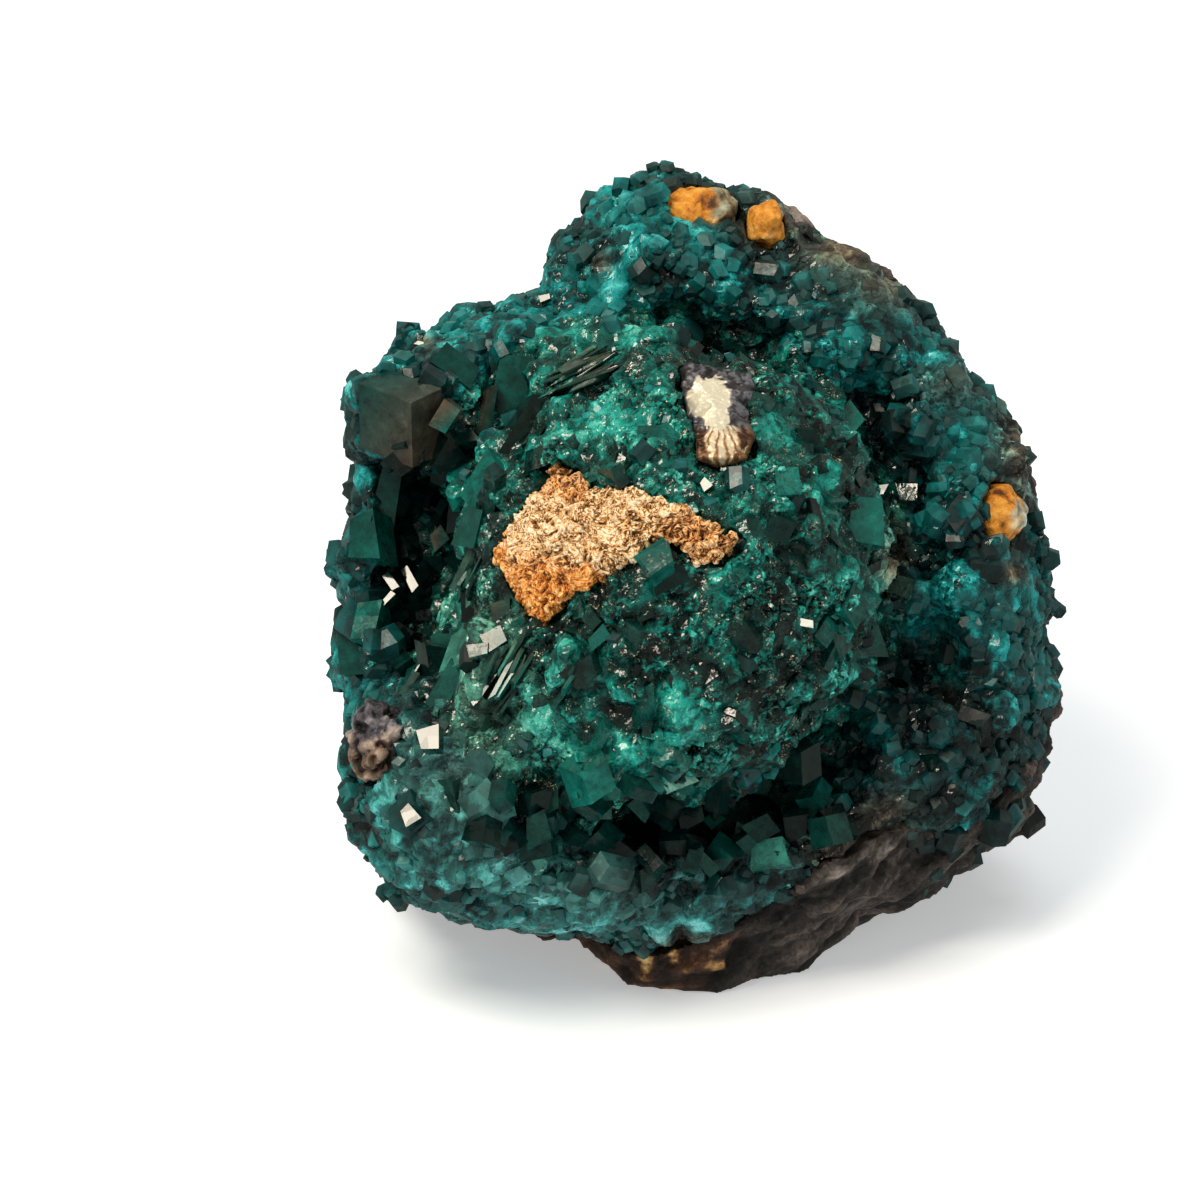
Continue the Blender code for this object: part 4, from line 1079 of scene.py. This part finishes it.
class Look:
    """A procedural material in the making, with its place in metres and the three stored looks."""

    def __init__(self, name):
        self.material = bpy.data.materials.new(name)
        self.material.use_nodes = True
        self.place = self.add("TexCoord").outputs["Object"]
        stored = self.add("Attribute", attribute_name="look").outputs["Color"]
        self.tone, self.crumble, self.rust = self.split(stored)

    def add(self, kind, sockets=None, **settings):
        return add(self.material.node_tree, "ShaderNode" + kind, sockets, **settings)

    def split(self, color):
        return self.add("SeparateColor", {0: color}).outputs

    def math(self, operation, first, second=0.0):
        return self.add("Math", {0: first, 1: second}, operation=operation).outputs[0]

    def plus(self, first, second):
        return self.math("ADD", first, second)

    def times(self, first, second):
        return self.math("MULTIPLY", first, second)

    def centred(self, value, width):
        return self.times(self.math("SUBTRACT", value, 0.5), width)

    def vector(self, operation, first, second=(0, 0, 0)):
        return self.add("VectorMath", {0: first, 1: second}, operation=operation).outputs[0]

    def shift(self, color, scale):
        """A vector that points every way, from a colour that is grey in the middle."""
        away = self.vector("SUBTRACT", color, HALF_GREY)
        return self.add("VectorMath", {0: away, "Scale": scale}, operation="SCALE").outputs[0]

    def ranged(self, value, low, high, start=0.0, end=1.0):
        """A value that runs from low to high while the given one runs from start to end."""
        sockets = {"Value": value, "From Min": start, "From Max": end, "To Min": low, "To Max": high}
        return self.add("MapRange", sockets).outputs[0]

    def noise(self, scale, detail=2.0, roughness=0.5, distortion=0.0):
        sockets = {"Scale": scale, "Detail": detail, "Roughness": roughness, "Distortion": distortion}
        return self.add("TexNoise", {"Vector": self.place, **sockets}).outputs

    def mixed(self, factor, first, second):
        return self.add("Mix", {0: factor, 6: first, 7: second}, data_type="RGBA").outputs[2]

    def ramp(self, factor, stops):
        made = self.add("ValToRGB", {"Fac": factor})
        elements = made.color_ramp.elements
        for element, (position, color) in zip(elements, (stops[0], stops[-1])):
            element.position = position
            element.color = (*color, 1)
        for position, color in stops[1:-1]:
            elements.new(position).color = (*color, 1)
        return made.outputs["Color"]

    def warped_cells(self, size):
        """Cells of irregular shape, about that wide."""
        place = self.vector("ADD", self.place, self.shift(self.noise(0.6 / size)["Color"], size * 1.6))
        return self.add("TexVoronoi", {"Vector": place, "Scale": 1 / size}).outputs["Color"]

    def thin_lines(self, value, level, width=0.02):
        """1 where a value crosses a level, falling to 0 within a width on both sides."""
        return self.ranged(self.math("ABSOLUTE", self.math("SUBTRACT", value, level)), 1, 0, 0, width)

    def finish(self, **values):
        """The material, with the sockets of its shader set or linked."""
        tree = self.material.node_tree
        for name, value in values.items():
            socket = tree.nodes["Principled BSDF"].inputs[name.replace("_", " ")]
            if isinstance(value, bpy.types.NodeSocket):
                tree.links.new(value, socket)
            else:
                socket.default_value = value
        return self.material


def dioptase(name, facet_size, clean_tilt, broken_tilt, crinkle, clear=0.0, shine=0.3, dull=0.05,
             tones=DIOPTASE_TONES, lines=0.0, painted_glints=0.0):
    """Glassy green crystal. Where it is crumbled it breaks into small facets that tilt every way."""
    look = Look(name)
    cells = look.warped_cells(facet_size * MM)
    curl = look.noise(1 / (0.9 * MM), 4.0, 0.62, 3.5)
    normal = look.add("NewGeometry").outputs["Normal"]
    tilted = look.shift(cells, look.ranged(look.crumble, clean_tilt, broken_tilt))
    normal = look.vector("NORMALIZE", look.vector("ADD", normal, tilted))
    normal = look.vector("ADD", normal, look.shift(curl["Color"], crinkle))
    facet_tone, facet_gloss, _ = look.split(cells)
    cloud = look.noise(0.9 / MM, 4.0, 0.6)["Fac"]
    facet_change = look.centred(facet_tone, look.ranged(look.crumble, 0.08, 0.6))
    change = look.plus(facet_change, look.centred(cloud, 0.5))
    change = look.plus(change, look.centred(curl["Fac"], 0.9 * crinkle))
    if lines:
        marks = look.math("SUBTRACT", look.thin_lines(curl["Fac"], 0.5), look.thin_lines(curl["Fac"], 0.42))
        change = look.plus(change, look.times(marks, lines))
    tone = look.plus(look.tone, change)
    color = look.mixed(look.rust, look.ramp(tone, tones), look.ramp(tone, RUST_TONES))
    # Painted glints: cream specks mixed into the base colour as highlights
    if painted_glints:
        fine = look.noise(1 / (0.32 * MM), 3.0, 0.8, 2.5)["Fac"]
        level = look.plus(fine, look.centred(cloud, 0.5))
        color = look.mixed(look.ranged(level, 0.0, 1.0, 1 - painted_glints, 1.03 - painted_glints), color, PAINTED_GLINT_COLOR)
    gloss = look.ranged(facet_gloss, dull, dull + 0.2)
    return look.finish(
        Base_Color=color, Normal=look.vector("NORMALIZE", normal), Roughness=gloss, IOR=DIOPTASE_IOR,
        Specular_IOR_Level=shine, Transmission_Weight=clear,
    )


def rock(name, low_stops, high_stops, grain, bump, roughness, metal=0.0, swirl=0.5, contrast=0.7,
         curls=0.0):
    """Rock or crust: colour from its stored relief and a fine grain, changing with the third look.

    Curls are how strongly fine swirling lines mark it.
    """
    look = Look(name)
    fine = look.noise(1 / (grain * MM), 6.0, 0.7, swirl)["Fac"]
    tone = look.plus(look.tone, look.centred(fine, contrast))
    if curls:
        field = look.noise(1 / (1.3 * MM), 3.0, 0.6, 2.5)["Fac"]
        tone = look.plus(tone, look.times(look.math("SINE", look.times(field, 36.0)), curls / 2))
    color = look.mixed(look.rust, look.ramp(tone, low_stops), look.ramp(tone, high_stops))
    bumps = look.add("Bump", {"Height": fine, "Distance": bump * MM, "Strength": 0.8}).outputs["Normal"]
    return look.finish(Base_Color=color, Normal=bumps, Roughness=roughness, Metallic=metal)


def finish_piece(piece, material, replaced=()):
    piece.data.materials.append(material)
    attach(piece, "root")
    if replaced:
        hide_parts(*replaced)


def druse_pieces():
    """The crystals of the druse, from its surface to the smallest grains, and those on the rock."""
    dark = dioptase("dioptase_dark", 1.2, 0.04, 0.4, 0.2, shine=0.27, lines=0.08)
    bright = dioptase("dioptase_bright", 1.2, 0.03, 0.4, 0.05, shine=0.44)
    broken = dioptase("dioptase_broken", 0.26, 0.08, 0.8, 0.55, shine=0.35, lines=0.22, painted_glints=0.33)
    lumpy = dioptase("dioptase_lumpy", 0.3, 0.08, 0.7, 0.5, 0.0, 0.3, 0.1, GROWN_TONES, 0.18, 0.25)
    shard = dioptase("dioptase_shards", 0.6, 0.08, 0.5, 0.45, 0.45, 0.35, lines=0.15, painted_glints=0.3)
    grown = dioptase("dioptase_grown", 0.7, 0.06, 0.5, 0.2, 0.3, 0.25, 0.25, GROWN_TONES)
    clear = dioptase("dioptase_clear", 1.0, 0.05, 0.5, 0.25, 0.6, 0.5)
    whole, front = druse_surfaces()
    finish_piece(whole, lumpy, ["dioptase_druse"])
    for piece, material in (
        (front, broken),
        (body_group("large_crystals", DARK_BODIES), dark),
        (body_group("bright_crystals", BRIGHT_BODIES), bright),
        (body_group("clear_crystals", CLEAR_BODIES), clear),
        (block_cover("grains", 0.5, 33, 0.5, (0.2, 0.7), (0.2, 0.9), grainy), broken),
        (block_cover("shards", 1.25, 35, 1.35, (0.2, 0.5), (0.0, 0.2), shardy, 0.45), shard),
        (block_cover("hollow_blocks", 1.7, 37, 2.2, (0.15, 0.4), (0.0, 0.1), hollow_share, 0.3, 1.2), dark),
        (crystal_cover("small_crystals", 0.9, 21, 0.58, 0.4, 0.85, druse_share), grown),
        (crystal_cover("stout_crystals", 2.2, 23, 1.0, 0.45, 0.7, stout_share), grown),
        (crystal_cover("rock_crystals", 1.3, 25, 0.8, 0.5, 0.6, on_rock_share, HOST), grown),
    ):
        finish_piece(piece, material)


def rock_pieces():
    """The host rock and the pieces that sit in the surface."""
    stone = rock("host_look", HOST_TONES, FOOT_TONES, 0.5, 0.3, 0.7)
    pitted = rock("patch_look", PATCH_TONES, PATCH_FOOT_TONES, 0.3, 0.2, 0.4)
    crumpled = rock("ochre_look", CREAM_TONES, ORANGE_TONES, 0.35, 0.08, 0.35, 0.0, 2.0, 0.4, 0.6)
    pearl = rock("cleavage_look", PEARL_TONES, AMBER_TONES, 0.5, 0.08, 0.28, 0.5, 2.0, 0.3)
    earthy = rock("limonite_look", LIMONITE_TONES, BLOTCH_TONES, 0.35, 0.15, 0.65)
    finish_piece(host_rock(), stone, ["host_rock"])
    finish_piece(rock_patch(), pitted, ["rock_patch"])
    finish_piece(ochre_crust(), crumpled, ["ochre_crust"])
    finish_piece(cleavage_plate(), pearl, ["cleavage_plate"])
    for number, name in enumerate(LIMONITE_NODES):
        finish_piece(limonite("rough_" + name, name, 600 + 40 * number), earthy, [name])


def face_toward(made, place, target):
    """Stand a light or the camera at a place, looking at another."""
    made.location = place
    made.rotation_euler = (target - made.location).to_track_quat("-Z", "Y").to_euler()


def lights():
    """Square lights that face the specimen, as bright as asked, in an evenly lit room."""
    for name, (round_angle, up_angle, distance, size, radiance, color, mirrored) in LIGHTS.items():
        data = bpy.data.lights.new(name, "AREA")
        data.size = size * MM
        data.energy = radiance * math.pi * data.size ** 2
        data.color = color
        made = placed(name, data)
        made.visible_glossy = mirrored
        face_toward(made, LIGHTS_AIM + Vector(toward(round_angle, up_angle)) * distance * MM, LIGHTS_AIM)
    world = bpy.data.worlds.new("studio")
    bpy.context.scene.world = world
    world.use_nodes = True
    tree = world.node_tree
    seen_by_camera = add(tree, "ShaderNodeLightPath").outputs["Is Camera Ray"]
    room = add(tree, "ShaderNodeMix", {0: seen_by_camera, 6: ROOM_LIGHT, 7: (1, 1, 1, 1)}, data_type="RGBA")
    tree.links.new(room.outputs[2], tree.nodes["Background"].inputs["Color"])


def floor():
    """A plain pale floor that reaches far beyond the picture."""
    mesh = bpy.data.meshes.new("floor")
    signs = ((-1, -1), (1, -1), (1, 1), (-1, 1))
    mesh.from_pydata([(x * FLOOR_SIZE, y * FLOOR_SIZE, 0) for x, y in signs], [], [(0, 1, 2, 3)])
    paper = bpy.data.materials.new("paper")
    paper.use_nodes = True
    for socket, value in PAPER.items():
        paper.node_tree.nodes["Principled BSDF"].inputs[socket].default_value = value
    mesh.materials.append(paper)
    made = placed("floor", mesh)
    made.visible_glossy = False


def camera():
    data = bpy.data.cameras.new("camera")
    data.sensor_width = SENSOR
    data.lens = SENSOR * VIEW_DISTANCE / (PICTURE_WIDTH * PIXEL)
    data.clip_start = 0.01
    made = placed("camera", data)
    face_toward(made, CAMERA_PLACE, Vector(AIM))
    bpy.context.scene.camera = made


def main():
    bpy.context.scene.view_settings.view_transform = "Standard"
    druse_pieces()
    rock_pieces()
    lights()
    floor()
    camera()


main()
